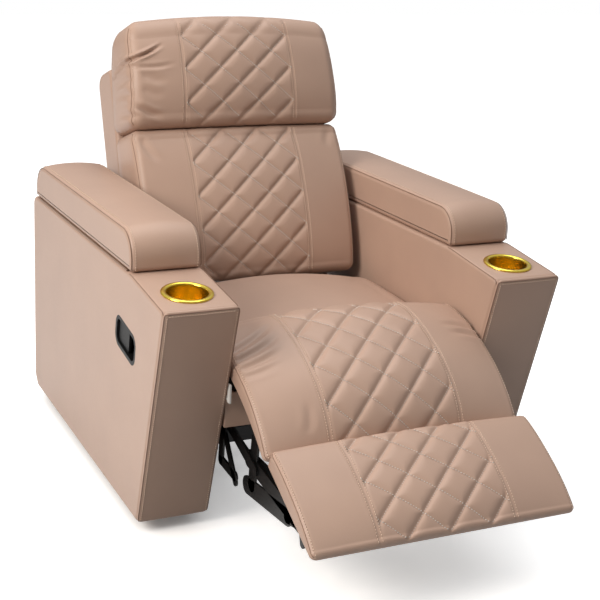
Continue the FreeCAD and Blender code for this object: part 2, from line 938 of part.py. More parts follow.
def seat_cushion():
    """Crowned seat with a lower step at the front that carries the chaise pad."""
    base_z = box_top_z + webbing
    half = inner_face - cushion_side_clearance
    edge = seat_top_edge_z - base_z
    length = seat_rear_y - seat_split_y
    rear = Pad((seat_rear_y, base_z), (0.0, 0.0), length, half, (edge - seat_rear_drop, edge),
               seat_swell, seat_crown, cushion_corner, cushion_drawn).solid()
    first = math.radians(chaise_slope_rear)
    bend = chaise_length / math.radians(chaise_slope_front - chaise_slope_rear)
    rail_y = box_front_y
    reach = (seat_split_y - rail_y) / bend + math.sin(first)
    rail_z = chaise_start_z + bend * (math.sqrt(1 - reach * reach) - math.cos(first))
    step = [
        (seat_split_y, base_z),
        (seat_split_y, chaise_start_z - seat_pad_gap),
        (rail_y, rail_z - seat_pad_gap),
        (rail_y, base_z),
    ]
    return rear.fuse(plate(step, -half + cushion_corner, half - cushion_corner)).removeSplitter()


def chaise_pad():
    """The quilted pad that runs from the seat, over the front rail and out to the footrest."""
    half = inner_face - cushion_side_clearance
    base = (seat_split_y - seat_pad_gap, chaise_start_z)
    pad = Pad(base, (chaise_slope_rear, chaise_slope_front), chaise_length, half,
              (chaise_edge, chaise_edge_front), chaise_swell, chaise_crown, cushion_corner, chaise_drawn)
    return pad.quilted(quilt_width_seat)


def seat_clip():
    """A small white plastic clip that hooks the cover's edge beside the front rail."""
    x0 = -inner_face + clip_clearance
    x1 = x0 + clip_width
    body = box(x0, x1, clip_y, clip_y + clip_depth, clip_z - clip_length, clip_z)
    low = clip_z - clip_length + clip_stem_rise
    stem = box(x0, x1, clip_y + clip_depth, box_front_y, low, low + clip_stem)
    body = body.fuse(stem)
    middle = clip_y + clip_depth / 2
    high = clip_z - clip_hole_drop
    hole = rod(Vector(x0 - 1, middle, high), Vector(x1 + 1, middle, high), clip_hole_radius)
    return body.cut(hole).removeSplitter()


def carriage_tube():
    """A round tube across the rear of the carriage that ties both side plates."""
    x = plate_outer_x - steel
    y = plate_rear_y - tie_tube_inset
    z = plate_top_z - plate_height / 2
    outer = rod(Vector(-x, y, z), Vector(x, y, z), tie_tube_radius)
    return outer.cut(rod(Vector(-x - 1, y, z), Vector(x + 1, y, z), tie_tube_radius - tie_tube_wall))


def back_frame(up, forward):
    return local((back_base_y, back_base_z), back_slope, -up, forward)


def back_pivot():
    return back_frame(back_pivot_up, back_pivot_forward)


def back_bracket():
    """A steel arm from the back's pivot up the side of its frame."""
    x0, x1 = layer(1)
    middle = -upright_depth / 2
    foot = back_pivot()
    top = back_frame(back_bracket_length, middle)
    elbow = back_frame(back_elbow, middle)
    arm = bar(elbow, top, x0, x1, back_bracket_width, [])
    root = bar(foot, elbow, x0, x1, back_bracket_root, [])
    body = arm.fuse(root)
    hole = rod(point(x0 - 1, foot), point(x1 + 1, foot), pin_radius + running_clearance)
    return body.cut(hole).removeSplitter()


def frame_top():
    """Height of the back's timber frame, which ends just under the shell's top."""
    return shell_top - shell_panel - frame_top_gap


def back_board(low, high, x0, x1):
    """A timber of the back's frame between two heights up the back."""
    outline = [
        back_frame(low, 0),
        back_frame(high, 0),
        back_frame(high, -upright_depth),
        back_frame(low, -upright_depth),
    ]
    return plate(outline, x0, x1)


def back_upright():
    x1 = layer(1)[1]
    return back_board(upright_bottom, frame_top(), x1, x1 + upright_width)


def back_crossrails():
    x = -layer(1)[1] - upright_width
    room = frame_top() - upright_bottom - crossrail_height
    lows = [upright_bottom + room * share for share in back_rail_share]
    return [back_board(low, low + crossrail_height, -x, x) for low in lows]


def shell_side():
    """A side board of the back, notched low down so that it clears the carriage's side plate."""
    outline = [
        back_frame(shell_bottom, 0),
        back_frame(shell_top - shell_panel, 0),
        back_frame(shell_top - shell_panel, -shell_depth + shell_panel),
        back_frame(shell_bottom, -shell_depth + shell_panel),
    ]
    inner = layer(1)[0]
    panel = plate(outline, -back_half_width, inner)
    notch = [
        back_frame(shell_bottom - 1, 1),
        back_frame(shell_notch, 1),
        back_frame(shell_notch, -shell_depth),
        back_frame(shell_bottom - 1, -shell_depth),
    ]
    panel = panel.cut(plate(notch, -plate_outer_x - layer_gap, inner + 1))
    return panel.cut(shell_cap())


def shell_rear():
    outline = [
        back_frame(shell_bottom, -shell_depth + shell_panel),
        back_frame(shell_top - shell_round, -shell_depth + shell_panel),
        back_frame(shell_top - shell_round, -shell_depth),
        back_frame(shell_bottom, -shell_depth),
    ]
    return plate(outline, -back_half_width, back_half_width)


def shell_cap():
    """The rounded top of the shell, between its front edge and its rear panel."""
    def spot(up, forward):
        return point(-back_half_width, back_frame(up, forward))

    inner = shell_round - shell_panel
    turn = math.sqrt(0.5)
    top = shell_top
    rear = -shell_depth
    centre_up = top - shell_round
    centre_f = rear + shell_round
    edges = [
        Part.makeLine(spot(top, 0), spot(top, centre_f)),
        Part.Arc(spot(top, centre_f), spot(centre_up + shell_round * turn, centre_f - shell_round * turn),
                 spot(centre_up, rear)).toShape(),
        Part.makeLine(spot(centre_up, rear), spot(centre_up, rear + shell_panel)),
        Part.Arc(spot(centre_up, rear + shell_panel),
                 spot(centre_up + inner * turn, centre_f - inner * turn),
                 spot(centre_up + inner, centre_f)).toShape(),
        Part.makeLine(spot(centre_up + inner, centre_f), spot(top - shell_panel, 0)),
        Part.makeLine(spot(top - shell_panel, 0), spot(top, 0)),
    ]
    return Part.Face(Part.Wire(edges)).extrude(Vector(2 * back_half_width, 0, 0))


def lower_back_cushion():
    base = back_frame(back_seam - back_seam_gap / 2, 0)
    length = back_seam - back_seam_gap / 2 - lower_back_start
    pad = Pad(base, (back_slope, back_slope), length, back_half_width,
              (seam_edge, lower_back_edge_bottom), lower_back_swell, back_crown, back_corner,
              cushion_drawn)
    return pad.quilted(quilt_width_back)


def headrest_cushion():
    base = back_frame(headrest_top, 0)
    length = headrest_top - back_seam - back_seam_gap / 2
    pad = Pad(base, (back_slope, back_slope), length, back_half_width, (headrest_edge_top, seam_edge),
              headrest_swell, back_crown, back_corner, cushion_drawn)
    wedge = [
        back_frame(shell_top, -1.0),
        back_frame(shell_top, 0),
        back_frame(headrest_top + 1.0, headrest_lean),
        back_frame(headrest_top + 1.0, -1.0),
    ]
    return pad.quilted(quilt_width_back).cut(plate(wedge, -overall_width, overall_width))


def build():
    left_right = {
        "arm_inner_panel": arm_side(-inner_face - arm_panel, -inner_face),
        "arm_front_panel": front_panel(),
        "arm_rear_panel": rear_panel(),
        "arm_top_board": top_board(),
        "storage_tray": storage_tray(),
        "cup_holder": cup_holder(),
        "lid_hinge_fixed": [hinge_leaf_solid(False), hinge_pin()],
        "lid_hinge_moving": hinge_leaf_solid(True),
        "lid_board": lid_board_solid(),
        "lid_pad": lid_pad(),
    }
    nodes = {}
    for name, shape in left_right.items():
        solids = shape if isinstance(shape, list) else [shape]
        nodes[name + "_left"] = solids
        nodes[name + "_right"] = [mirrored(s) for s in solids]
    nodes["arm_outer_panel_left"] = [outer_panel("left")]
    nodes["arm_outer_panel_right"] = [outer_panel("right")]
    nodes["arm_feet"] = feet()
    nodes["foot_blocks"] = foot_blocks()
    nodes["release_housing"] = [release_housing()]
    nodes["release_flap"] = [release_flap()]
    nodes["release_pin"] = [flap_pin()]
    nodes["cross_tube_front"] = [cross_tube(front_tube_y)]
    nodes["cross_tube_rear"] = [cross_tube(rear_tube_y)]
    nodes["flange_bolts"] = flange_bolts()
    nodes["base_rails"] = pair(base_rail())
    nodes["seat_runners"] = [s for y in runner_places() for s in pair(runner(y))]
    nodes["side_plates"] = pair(side_plate())
    nodes["carriage_tube"] = [carriage_tube()]
    nodes["front_rail"] = [front_rail()]
    nodes["seat_side_rails"] = pair(box_side())
    nodes["seat_rear_rail"] = [box_rear()]
    nodes["seat_webbing"] = seat_webbing()
    nodes["seat_cushion"] = [seat_cushion()]
    nodes["chaise_pad"] = [chaise_pad()]
    nodes["seat_clips"] = pair(seat_clip())
    spots = linkage()
    carriage_pins = [pin(rear_pivot, 0, 1, False), pin(idler_pivot, 0, 3), pin(back_pivot(), 0, 1)]
    nodes["carriage_pins"] = [s for p in carriage_pins for s in pair(p)]
    nodes["rear_links"] = pair(rear_link())
    nodes["rear_link_pins"] = pair(pin(knee_pivot, 1, 2))
    nodes["front_links"] = pair(front_link())
    nodes["front_link_pins"] = pair(pin(spots["board"], 2, 3, False))
    nodes["idler_links"] = pair(idler_link())
    nodes["idler_link_pins"] = pair(pin(spots["stay_start"], 3, 4))
    nodes["stay_links"] = pair(stay_link())
    nodes["footrest_brackets"] = pair(footrest_bracket())
    nodes["footrest_board"] = [footrest_board_solid()]
    nodes["footrest_cushion"] = [footrest_cushion()]
    nodes["back_brackets"] = pair(back_bracket())
    nodes["back_uprights"] = pair(back_upright())
    nodes["back_crossrails"] = back_crossrails()
    nodes["back_side_panels"] = pair(shell_side())
    nodes["back_rear_panel"] = [shell_rear()]
    nodes["back_top_cap"] = [shell_cap()]
    nodes["lower_back_cushion"] = [lower_back_cushion()]
    nodes["headrest_cushion"] = [headrest_cushion()]
    return nodes


def save(nodes):
    os.makedirs("parts", exist_ok=True)
    low = Vector(1e9, 1e9, 1e9)
    high = Vector(-1e9, -1e9, -1e9)
    for name, solids in nodes.items():
        shape = solids[0] if len(solids) == 1 else Part.makeCompound(solids)
        sound = all(s.isValid() and s.Volume > 0 and len(s.Solids) == 1 for s in solids)
        if not sound:
            print("check", name, [(s.isValid(), round(s.Volume), len(s.Solids)) for s in solids])
        shape.exportStep("parts/" + name + ".step")
        b = shape.optimalBoundingBox(False)
        low = Vector(min(low.x, b.XMin), min(low.y, b.YMin), min(low.z, b.ZMin))
        high = Vector(max(high.x, b.XMax), max(high.y, b.YMax), max(high.z, b.ZMax))
    print(len(nodes), "nodes, from", [round(v, 2) for v in low], "to", [round(v, 2) for v in high])


save(build())
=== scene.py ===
import math
from dataclasses import dataclass

import bmesh
import bpy
import numpy as np
from bpy.props import FloatProperty, FloatVectorProperty, PointerProperty
from mathutils import Matrix, Vector


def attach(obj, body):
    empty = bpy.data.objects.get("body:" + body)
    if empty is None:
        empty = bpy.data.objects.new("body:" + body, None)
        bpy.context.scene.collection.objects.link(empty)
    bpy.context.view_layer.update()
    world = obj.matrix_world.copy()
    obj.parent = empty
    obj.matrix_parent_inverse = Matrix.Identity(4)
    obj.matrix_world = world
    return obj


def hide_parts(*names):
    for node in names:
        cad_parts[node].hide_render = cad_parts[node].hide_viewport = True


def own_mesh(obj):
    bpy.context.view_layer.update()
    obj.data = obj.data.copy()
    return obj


bl_info = {
    "name": "Cinema Recliner Upholstery",
    "version": (1, 0, 0),
    "blender": (4, 5, 0),
    "location": "View3D > Sidebar > Recliner",
    "description": "Upholsters and finishes a cinema recliner seat round its working frame",
    "category": "Object",
}

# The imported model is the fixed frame.
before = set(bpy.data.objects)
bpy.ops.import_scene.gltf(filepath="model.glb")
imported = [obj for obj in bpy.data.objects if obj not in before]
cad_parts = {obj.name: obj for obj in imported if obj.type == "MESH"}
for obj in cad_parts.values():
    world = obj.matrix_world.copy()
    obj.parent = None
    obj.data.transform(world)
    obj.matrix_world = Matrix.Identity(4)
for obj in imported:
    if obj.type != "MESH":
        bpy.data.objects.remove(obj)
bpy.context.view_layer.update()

# Lengths below are in millimetres, in the frame's axes: +X right, the front is -Y, +Z up.
MM = 0.001
TINY = 1e-9
SIDES = {"left": -1, "right": 1}

# Arms
HALF_WIDTH = 477.5
INNER_FACE = 311.5
ARM_FRONT_TOP = (-351.0, 564.0)
ARM_FRONT_BOTTOM = (-209.0, 30.0)
ARM_CREST = (-135.0, 582.0)
ARM_REAR_TOP = (664.0, 560.0)
ARM_REAR_Y = 664.0
ARM_CHAMFER = 26.0
ARM_BEVEL = 8.0
FRONT_COVER = 9.0
WELL_FRONT_Y, WELL_REAR_Y = -98.0, 582.0
WELL_INSET = (27.0, 27.0)
WELL_FLOOR = 438.0
WELL_TOP = 640.0

# Lids
LID_FRONT_Y, LID_REAR_Y = -135.0, 642.0
LID_GAP = 4.4
LID_SKIRT = 3.0
LID_HEIGHT = 88.0
LID_CROWN = 9.0
LID_EDGE = 11.0
LID_ROUNDS = (12.0, 12.0, 70.0, 60.0)
LID_PUSH = 4.0
LID_SEAM_INSET = 2.2
LID_ROW_INSET = 8.5

# Cups
CUP_Y = -258.0
CUP_BORE = 44.0
CUP_FLANGE = 56.0
CUP_DEPTH = 76.0
CUP_WALL = 1.5
CUP_FOOT = 9.0

# Release housing
RELEASE_Y, RELEASE_Z = -109.0, 425.0
RELEASE_SIZE = (138.0, 74.0)
RELEASE_CORNER = 26.0
RELEASE_TILT = 8.0
RELEASE_DEPTH = 26.0

# Back
BACK_BASE = (405.0, 300.0)
BACK_SLOPE = 70.0
BACK_HALF = 285.0
SHELL_DEPTH = 118.0
SHELL_BOTTOM = -60.0
SHELL_TOP = 634.0
SHELL_WALL = 15.0
SHELL_ROOM_HALF = 262.6
SHELL_NOTCH_HALF = 268.9
SHELL_NOTCH_TOP = 40.0
BACK_SEAM = 453.0
LOWER_BACK_START = 57.0
LOWER_BACK_HALF = 288.0
HEADREST_TOP = 737.0
HEADREST_LEAN = 30.0

# Seat, chaise pad and footrest
PAD_HALF = 305.5
SEAT_BASE_Z = 347.0
SEAT_REAR_Y = 240.0
SEAT_SPLIT_Y = -150.0
CHAISE_START_Z = 418.0
CHAISE_LENGTH = 366.0
CHAISE_SLOPES = (7.0, 42.0)
CHAISE_EDGES = (24.0, 17.0)
FOOTREST_CORNER = (-513.0, 309.0)
FOOTREST_SLOPE = 34.0
FOOTREST_BASE_SLOPE = 25.4
FOOTREST_LENGTH = 249.0
FOOTREST_BELOW = 40.0

# Footrest mechanism
PLATE_X = 268.0
STEEL = 5.0
LAYER = 5.6
FOOTREST_BOARD = 12.0
BOARD_PIVOT = (117.0, -99.0)
STAY_PIVOT = (100.0, -70.0)
TAB_END = (-566.0, 122.0)
BAR_EDGE = 0.8
# Bars as start, end and width
FRONT_WEB = (
    ((-170, 215), (-166, 134), 25),
    ((-166, 134), (-250, 130), 24),
    ((-176, 215), (-252, 118), 21),
    ((-176, 215), (-110, 222), 30),
)
LOWER_BAR = (
    ((-326, 246), (-318, 140), 36),
    ((-292, 128), (-500, 152), 42),
    ((-500, 150), (-545, 160), 26),
)

# Topstitching beside a panel's seam, and the seam's place round a pad's edge, in degrees from its side
SEAM_ROW = 5.0
SEAM_ANGLE = 30.0

# Stitches: pitch, length, and how far their ends and sides lie below their middle. A stitch has six corners.
STITCH_PITCH, STITCH_LENGTH = 6.0, 4.8
STITCH_SINKS = (0.5, 0.2)
STITCH_FACES = ((0, 2, 4), (2, 1, 4), (1, 3, 4), (3, 0, 4), (2, 0, 5), (1, 2, 5), (3, 1, 5), (0, 3, 5))

# A direction that no seam follows, and the angle above which a cut edge stays sharp
OFF_AXIS = (0.37, 0.61, 0.70)
SHARP_ANGLE = 50.0

# Quilting, as depth and width: sewn lines of both diagonals, the fill between them, and the panel's seams
DEEP_LINE = (6.0, 4.6)
FINE_LINE = (3.0, 3.6)
PUFF = (1.0, 22.0)
SEAM_RIDGE = (1.2, 7.0)
SEAM_VALLEY = (3.0, 2.4)
ROW_VALLEY = (1.2, 2.2)
PANEL_FADE = (4.0, 6.0)
LINE_FLOOR = 2.0

# Creases: how far they bend, how fast they fade in and out, and the ridge beside them, as shares
CREASE_BEND = 0.06
CREASE_FADES = (0.25, 0.45)
CREASE_RIDGE = 0.45

# Pads: powers of the swell's ends, plain and soft, and of the fade of relief over the edges
END_POWER = 3.2
SOFT_END_POWERS = (2.2, 0.75)
TOP_FADE, SIDE_FADE = 0.6, 1.5

# Distances between the points of a pad's surface
QUILTED_STEP = 2.8
PLAIN_STEP = 8.0
FRONT_STEP = 12.0

# Camera: looks at AIM from a distance, turned and raised, with a little roll
AIM = (107.0, 232.0, 352.5)
CAMERA_TURN = -26.2
CAMERA_RISE = 18.25
CAMERA_ROLL = 3.2
CAMERA_DISTANCE = 3475.0
FOCAL_PIXELS = 1344.0
PICTURE_PIXELS = 600.0
SENSOR = 36.0
FAR_CLIP = 50.0

# Stage, in metres: the lamps, the floor's half side, and the painted shadow: how the floor's white fades where
# the object covers the sky
KEY_LAMP = {"place": (-3.25, -0.95, 2.6), "target": (0, 0, 0.5), "size": 2.0, "colour": (1.0, 0.93, 0.85)}
TOP_LAMP = {"place": (0.2, 0.6, 4.0), "target": (0, 0, 0.4), "size": 3.0, "colour": (1.0, 1.0, 1.0)}
FLOOR_REACH = 9.0
SHADOW_REACH = 0.36
OPEN_SKY = (0.2, 0.7)
FLOOR_GLOW = (0.12, 0.66)

# Brightness of the sky at the horizon and overhead, and how far the part behind the camera is dimmed
SKY_RISE = (0.5, 1.7)
SKY_FRONT = (-1.0, 0.2)
SKY_FRONT_LEVEL = 0.45


def linear(hex_colour):
    """An sRGB hex colour as linear RGBA."""
    parts = [int(hex_colour[i:i + 2], 16) / 255 for i in (1, 3, 5)]
    return [c / 12.92 if c <= 0.04045 else ((c + 0.055) / 1.055) ** 2.4 for c in parts] + [1.0]


def add(tree, kind, sockets=None, links=None, **settings):
    """Adds one node, with its settings, socket values and links."""
    node = tree.nodes.new("ShaderNode" + kind)
    for key, value in settings.items():
        setattr(node, key, value)
    for key, value in (sockets or {}).items():
        node.inputs[key].default_value = value
    for key, source in (links or {}).items():
        tree.links.new(source, node.inputs[key])
    return node


def new_material(name):
    """An empty material and its tree."""
    material = bpy.data.materials.new(name)
    material.use_nodes = True
    material.node_tree.nodes.clear()
    return material, material.node_tree


def finish_material(tree, shader):
    """Joins the shader to the output."""
    add(tree, "OutputMaterial", links={"Surface": shader.outputs[0]})


def shades(hex_colour, low, high):
    """A colour dimmed and brightened, as two linear colours."""
    return [[c * level for c in linear(hex_colour)[:3]] + [1.0] for level in (low, high)]


def per_metre(size):
    """The scale that gives a pattern of this size in millimetres."""
    return 1 / (size * MM)


def surface(name, tones, grain, patch=None, ratio=None, pebble=None, bump=None, rough=0.5, metallic=0.0,
            specular=0.5):
    """A finish in the object's own space. Noises are (size in mm, detail).

    The grain gives relief and gloss. The patch, or else the grain, mixes two tones. Pebble is the size of cells
    that are added to the relief. Bump is (strength, height in mm).
    """
    material, tree = new_material(name)
    place = add(tree, "TexCoord").outputs["Object"]
    if ratio:
        place = add(tree, "Mapping", {"Scale": ratio}, {"Vector": place}).outputs[0]
    noises = []
    for size, detail in (grain, patch) if patch else (grain,):
        noise = add(tree, "TexNoise", {"Scale": per_metre(size), "Detail": detail}, {"Vector": place})
        noises.append(noise.outputs["Fac"])
    sockets = {"Metallic": metallic, "Specular IOR Level": specular}
    links = {}
    if len(tones) == 2:
        mix = add(tree, "MixRGB", {"Color1": tones[0], "Color2": tones[1]}, {"Fac": noises[-1]})
        links["Base Color"] = mix.outputs[0]
    else:
        sockets["Base Color"] = tones[0]
    if bump:
        height = noises[0]
        if pebble:
            cells = add(tree, "TexVoronoi", {"Scale": per_metre(pebble)}, {"Vector": place})
            height = add(tree, "Math", {}, {0: cells.outputs["Distance"], 1: height},
                         operation="ADD").outputs[0]
        raised = add(tree, "Bump", {"Strength": bump[0], "Distance": bump[1] * MM}, {"Height": height})
        links["Normal"] = raised.outputs[0]
    if isinstance(rough, tuple):
        gloss = add(tree, "MapRange", {"To Min": rough[0], "To Max": rough[1]}, {"Value": noises[0]})
        links["Roughness"] = gloss.outputs[0]
    else:
        sockets["Roughness"] = rough
    finish_material(tree, add(tree, "BsdfPrincipled", sockets, links))
    return material


def woven_strap():
    """Black elastic webbing, plain weave of 3 mm yarns: dull, with a fine check."""
    material, tree = new_material("elastic_webbing")
    place = add(tree, "TexCoord").outputs["Object"]
    colours = {"Color1": linear("#1C1C1E"), "Color2": linear("#101012")}
    weave = add(tree, "TexChecker", {**colours, "Scale": per_metre(3.03)}, {"Vector": place})
    bump = add(tree, "Bump", {"Strength": 0.4, "Distance": 0.6 * MM}, {"Height": weave.outputs["Fac"]})
    shader = add(tree, "BsdfPrincipled", {"Roughness": 0.85},
                 {"Base Color": weave.outputs["Color"], "Normal": bump.outputs[0]})
    finish_material(tree, shader)
    return material


def material_set(colours):
    """All finishes by short name, made once."""
    leather = {"grain": (6.25, 3.0), "patch": (125.0, 2.0), "pebble": 2.5, "bump": (0.10, 0.6),
               "rough": (0.36, 0.46), "specular": 0.32}
    thread = {"grain": (1.43, 2.0), "rough": 0.55, "specular": 0.3}
    moulding = {"bump": (0.10, 0.3), "specular": 0.15}
    return {
        # PU leatherette, embossed film on cloth: matte satin, fine pebble, slightly uneven colour.
        # The pebble, really 0.8 mm, is drawn at 2.5 mm so that it shows.
        "leather": surface("leatherette", (colours.light, colours.shade), **leather),
        # The same film folded in a seam, where it lies in its own shade: a darker tone of painted shade, used
        # on the dark beads along the seams and on the lid hinges
        "seam": surface("painted_seam_shade", (linear("#8A6E5E"), linear("#7C6152")), **leather),
        # Bonded polyester thread: dull sheen, twisted, so its tone changes along it
        "tan_thread": surface("tan_thread", shades("#E8D0BA", 0.85, 1.12), **thread),
        "grey_thread": surface("grey_thread", shades("#D8D5CF", 0.85, 1.12), **thread),
        # Gold anodised aluminium, spun: fine rings round the bore, bright rolled rim
        "gold": surface("gold_anodised", (linear("#F3D65C"),), (16.7, 4.0), ratio=(1.0, 1.0, 15.0),
                        bump=(0.003, 0.3), rough=(0.20, 0.26), metallic=1.0),
        # Pressed steel under black powder coat: low satin, slight orange peel, rubbed paler in places
        "steel": surface("black_powder_coat", (linear("#050506"), linear("#0D0D0E")), (2.38, 2.0),
                         patch=(45.5, 3.0), bump=(0.12, 0.3), rough=0.42, specular=0.3),
        # Dull zinc plate on rivets and bolts
        "zinc": surface("zinc_plated_steel", (linear("#3B3C3E"),), (3.33, 2.0), rough=(0.3, 0.5),
                        metallic=0.9),
        # Injection-moulded plastics with a spark-eroded grain: flat and even
        "black": surface("black_moulding", shades("#141415", 0.9, 1.1), (1.11, 2.0), rough=0.5, **moulding),
        "white": surface("white_moulding", shades("#E9E9E6", 0.9, 1.1), (1.43, 2.0), rough=0.35, **moulding),
        # Sawn pine: pale, with long grain along the board
        "timber": surface("sawn_pine", (linear("#C9A06A"), linear("#9C7443")), (5.56, 5.0),
                          ratio=(0.1, 1.0, 1.0), bump=(0.2, 0.5), rough=0.7),
        "strap": woven_strap(),
    }


FINISHES = {}


def finish(name):
    """One of the finishes. The first call makes them all."""
    if not FINISHES:
        FINISHES.update(material_set(bpy.context.scene.recliner_colours))
    return FINISHES[name]


def placed(name, data):
    """A new object in the scene."""
    made = bpy.data.objects.new(name, data)
    bpy.context.scene.collection.objects.link(made)
    return made


def closed_mesh(name, points, faces):
    """A mesh from points in millimetres, with its faces turned outward."""
    if not len(faces):
        raise RuntimeError(name + " has no faces")
    mesh = bpy.data.meshes.new(name)
    mesh.from_pydata((np.asarray(points, float) * MM).tolist(), [], faces)
    mesh.validate()
    work = bmesh.new()
    work.from_mesh(mesh)
    bmesh.ops.recalc_face_normals(work, faces=work.faces)
    work.to_mesh(mesh)
    work.free()
    return mesh


def piece(name, points, faces, look, body, smooth=True):
    """An object from points in millimetres, with its finish, on its body."""
    mesh = closed_mesh(name, points, faces)
    mesh.shade_smooth() if smooth else mesh.shade_flat()
    made = placed(name, mesh)
    made.data.materials.append(finish(look))
    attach(made, body)
    return made


def down_slope(origin, slope, along, above):
    """A (Y, Z) place on a sloping line: along it down to the front, and above it square to it."""
    a = math.radians(slope)
    return (origin[0] - along * math.cos(a) - above * math.sin(a),
            origin[1] - along * math.sin(a) + above * math.cos(a))


def back_place(up, forward):
    """A (Y, Z) place on the back: up its slope and forward of its base line."""
    return down_slope(BACK_BASE, BACK_SLOPE, -up, forward)


def arm_top(y):
    """Height of the arm's top at a place along it."""
    start, end = (ARM_FRONT_TOP, ARM_CREST) if y < ARM_CREST[0] else (ARM_CREST, ARM_REAR_TOP)
    return start[1] + (y - start[0]) / (end[0] - start[0]) * (end[1] - start[1])


def rounded(corners, steps=10):
    """A closed outline from (y, z, radius) corners, with arcs at the corners."""
    points = []
    count = len(corners)
    for i, (y, z, radius) in enumerate(corners):
        here = Vector((y, z))
        before = (Vector(corners[i - 1][:2]) - here).normalized()
        after = (Vector(corners[(i + 1) % count][:2]) - here).normalized()
        half = before.angle(after) / 2
        reach = radius / math.tan(half)
        start = here + before * reach
        end = here + after * reach
        centre = here + (before + after).normalized() * (radius / math.sin(half))
        first = start - centre
        turn = first.angle_signed(end - centre)
        for k in range(steps + 1):
            a = turn * k / steps
            c, s = math.cos(-a), math.sin(-a)
            spoke = Vector((first.x * c - first.y * s, first.x * s + first.y * c))
            points.append(centre + spoke)
    return np.array([[p.x, p.y] for p in points])


def split_long(outline, longest):
    """The outline with its long straight runs divided."""
    points = []
    for a, b in zip(outline, np.roll(outline, -1, axis=0)):
        parts = max(1, int(math.ceil(np.linalg.norm(b - a) / longest)))
        points += [a + (b - a) * k / parts for k in range(parts)]
    return np.array(points)


def unit(vectors):
    """Rows of vectors, each at length 1."""
    return vectors / np.maximum(np.linalg.norm(vectors, axis=1, keepdims=True), TINY)


def mirrored(points, sign):
    """Points drawn for the left side, turned over for the right one."""
    points = np.array(points, float)
    if sign > 0:
        points[:, 0] *= -1
    return points


def inset(outline, amount):
    """The outline moved inward by an amount."""
    before = unit(outline - np.roll(outline, 1, axis=0))
    after = unit(np.roll(outline, -1, axis=0) - outline)
    n1 = np.stack([-before[:, 1], before[:, 0]], 1)
    n2 = np.stack([-after[:, 1], after[:, 0]], 1)
    following = np.roll(outline, -1, axis=0)
    area = np.sum(outline[:, 0] * following[:, 1] - following[:, 0] * outline[:, 1])
    side = 1 if area > 0 else -1
    return outline + side * amount * (n1 + n2) / (1 + np.sum(n1 * n2, 1, keepdims=True))


def prism(outline, x0, x1, bevel, across=1, support=3.0, steps=5):
    """An outline in (Y, Z) carried along X, with rounded long edges and flat ends."""
    turn = [math.radians(90 * k / steps) for k in range(steps + 1)]
    edge = [(0.0, bevel + support)] + [(bevel * (1 - math.cos(a)), bevel * (1 - math.sin(a))) for a in turn]
    rings = [(x0 + reach, amount) for reach, amount in edge]
    rings += [(x, 0.0) for x in np.linspace(x0 + bevel, x1 - bevel, across + 1)[1:-1]]
    rings += [(x1 - reach, amount) for reach, amount in reversed(edge)]
    points = np.array([(x, y, z) for x, amount in rings for y, z in inset(outline, amount)])
    n = len(outline)
    last = (len(rings) - 1) * n
    faces = [(r + i, r + (i + 1) % n, r + n + (i + 1) % n, r + n + i)
             for r in range(0, last, n) for i in range(n)]
    faces += [tuple(range(n)), tuple(range(last, last + n))]
    return points, faces


def carve(target, cutters):
    """Cuts closed shapes out of a piece, and leaves no modifier behind."""
    for shape in cutters:
        modifier = target.modifiers.new("cut", "BOOLEAN")
        modifier.operation = "DIFFERENCE"
        modifier.solver = "EXACT"
        modifier.object = shape
    graph = bpy.context.evaluated_depsgraph_get()
    mesh = bpy.data.meshes.new_from_object(target.evaluated_get(graph))
    if not mesh.polygons:
        raise RuntimeError("nothing is left of " + target.name)
    target.modifiers.clear()
    target.data = mesh
    mesh.set_sharp_from_angle(angle=math.radians(SHARP_ANGLE))
    for shape in cutters:
        bpy.data.objects.remove(shape)


def block(outline, x0, x1):
    """A plain cutter: an outline in (Y, Z) between two X."""
    n = len(outline)
    points = [(x0, y, z) for y, z in outline] + [(x1, y, z) for y, z in outline]
    faces = [tuple(range(n)), tuple(range(n, 2 * n))]
    faces += [(i, (i + 1) % n, n + (i + 1) % n, n + i) for i in range(n)]
    return placed("cutter", closed_mesh("cutter", points, faces))


def turned(profile, steps=96):
    """A closed surface of revolution round Z from (radius, height) points that start and end on the axis."""
    rings = profile[1:-1]
    angles = [2 * math.pi * k / steps for k in range(steps)]
    points = [(0, 0, profile[0][1])]
    points += [(r * math.cos(a), r * math.sin(a), z) for r, z in rings for a in angles]
    points.append((0, 0, profile[-1][1]))
    faces = []
    last, end = 1 + (len(rings) - 1) * steps, len(points) - 1
    for k in range(steps):
        j = (k + 1) % steps
        faces += [(0, 1 + k, 1 + j), (last + k, last + j, end)]
        faces += [(r + k, r + j, r + steps + j, r + steps + k) for r in range(1, last, steps)]
    return np.array(points), faces


def even_walk(path, step):
    """Places a fixed distance apart along a path of points, with the direction at each."""
    path = np.asarray(path, float)
    total = np.concatenate([[0], np.cumsum(np.linalg.norm(np.diff(path, axis=0), axis=1))])
    if total[-1] < step:
        return np.empty((0, 3)), np.empty((0, 3)), np.empty(0)
    at = np.arange(step / 2, total[-1], step)

    def along(distance):
        return np.stack([np.interp(distance, total, path[:, k]) for k in range(3)], 1)

    return along(at), unit(along(at + 1.0) - along(at - 1.0)), at / total[-1]


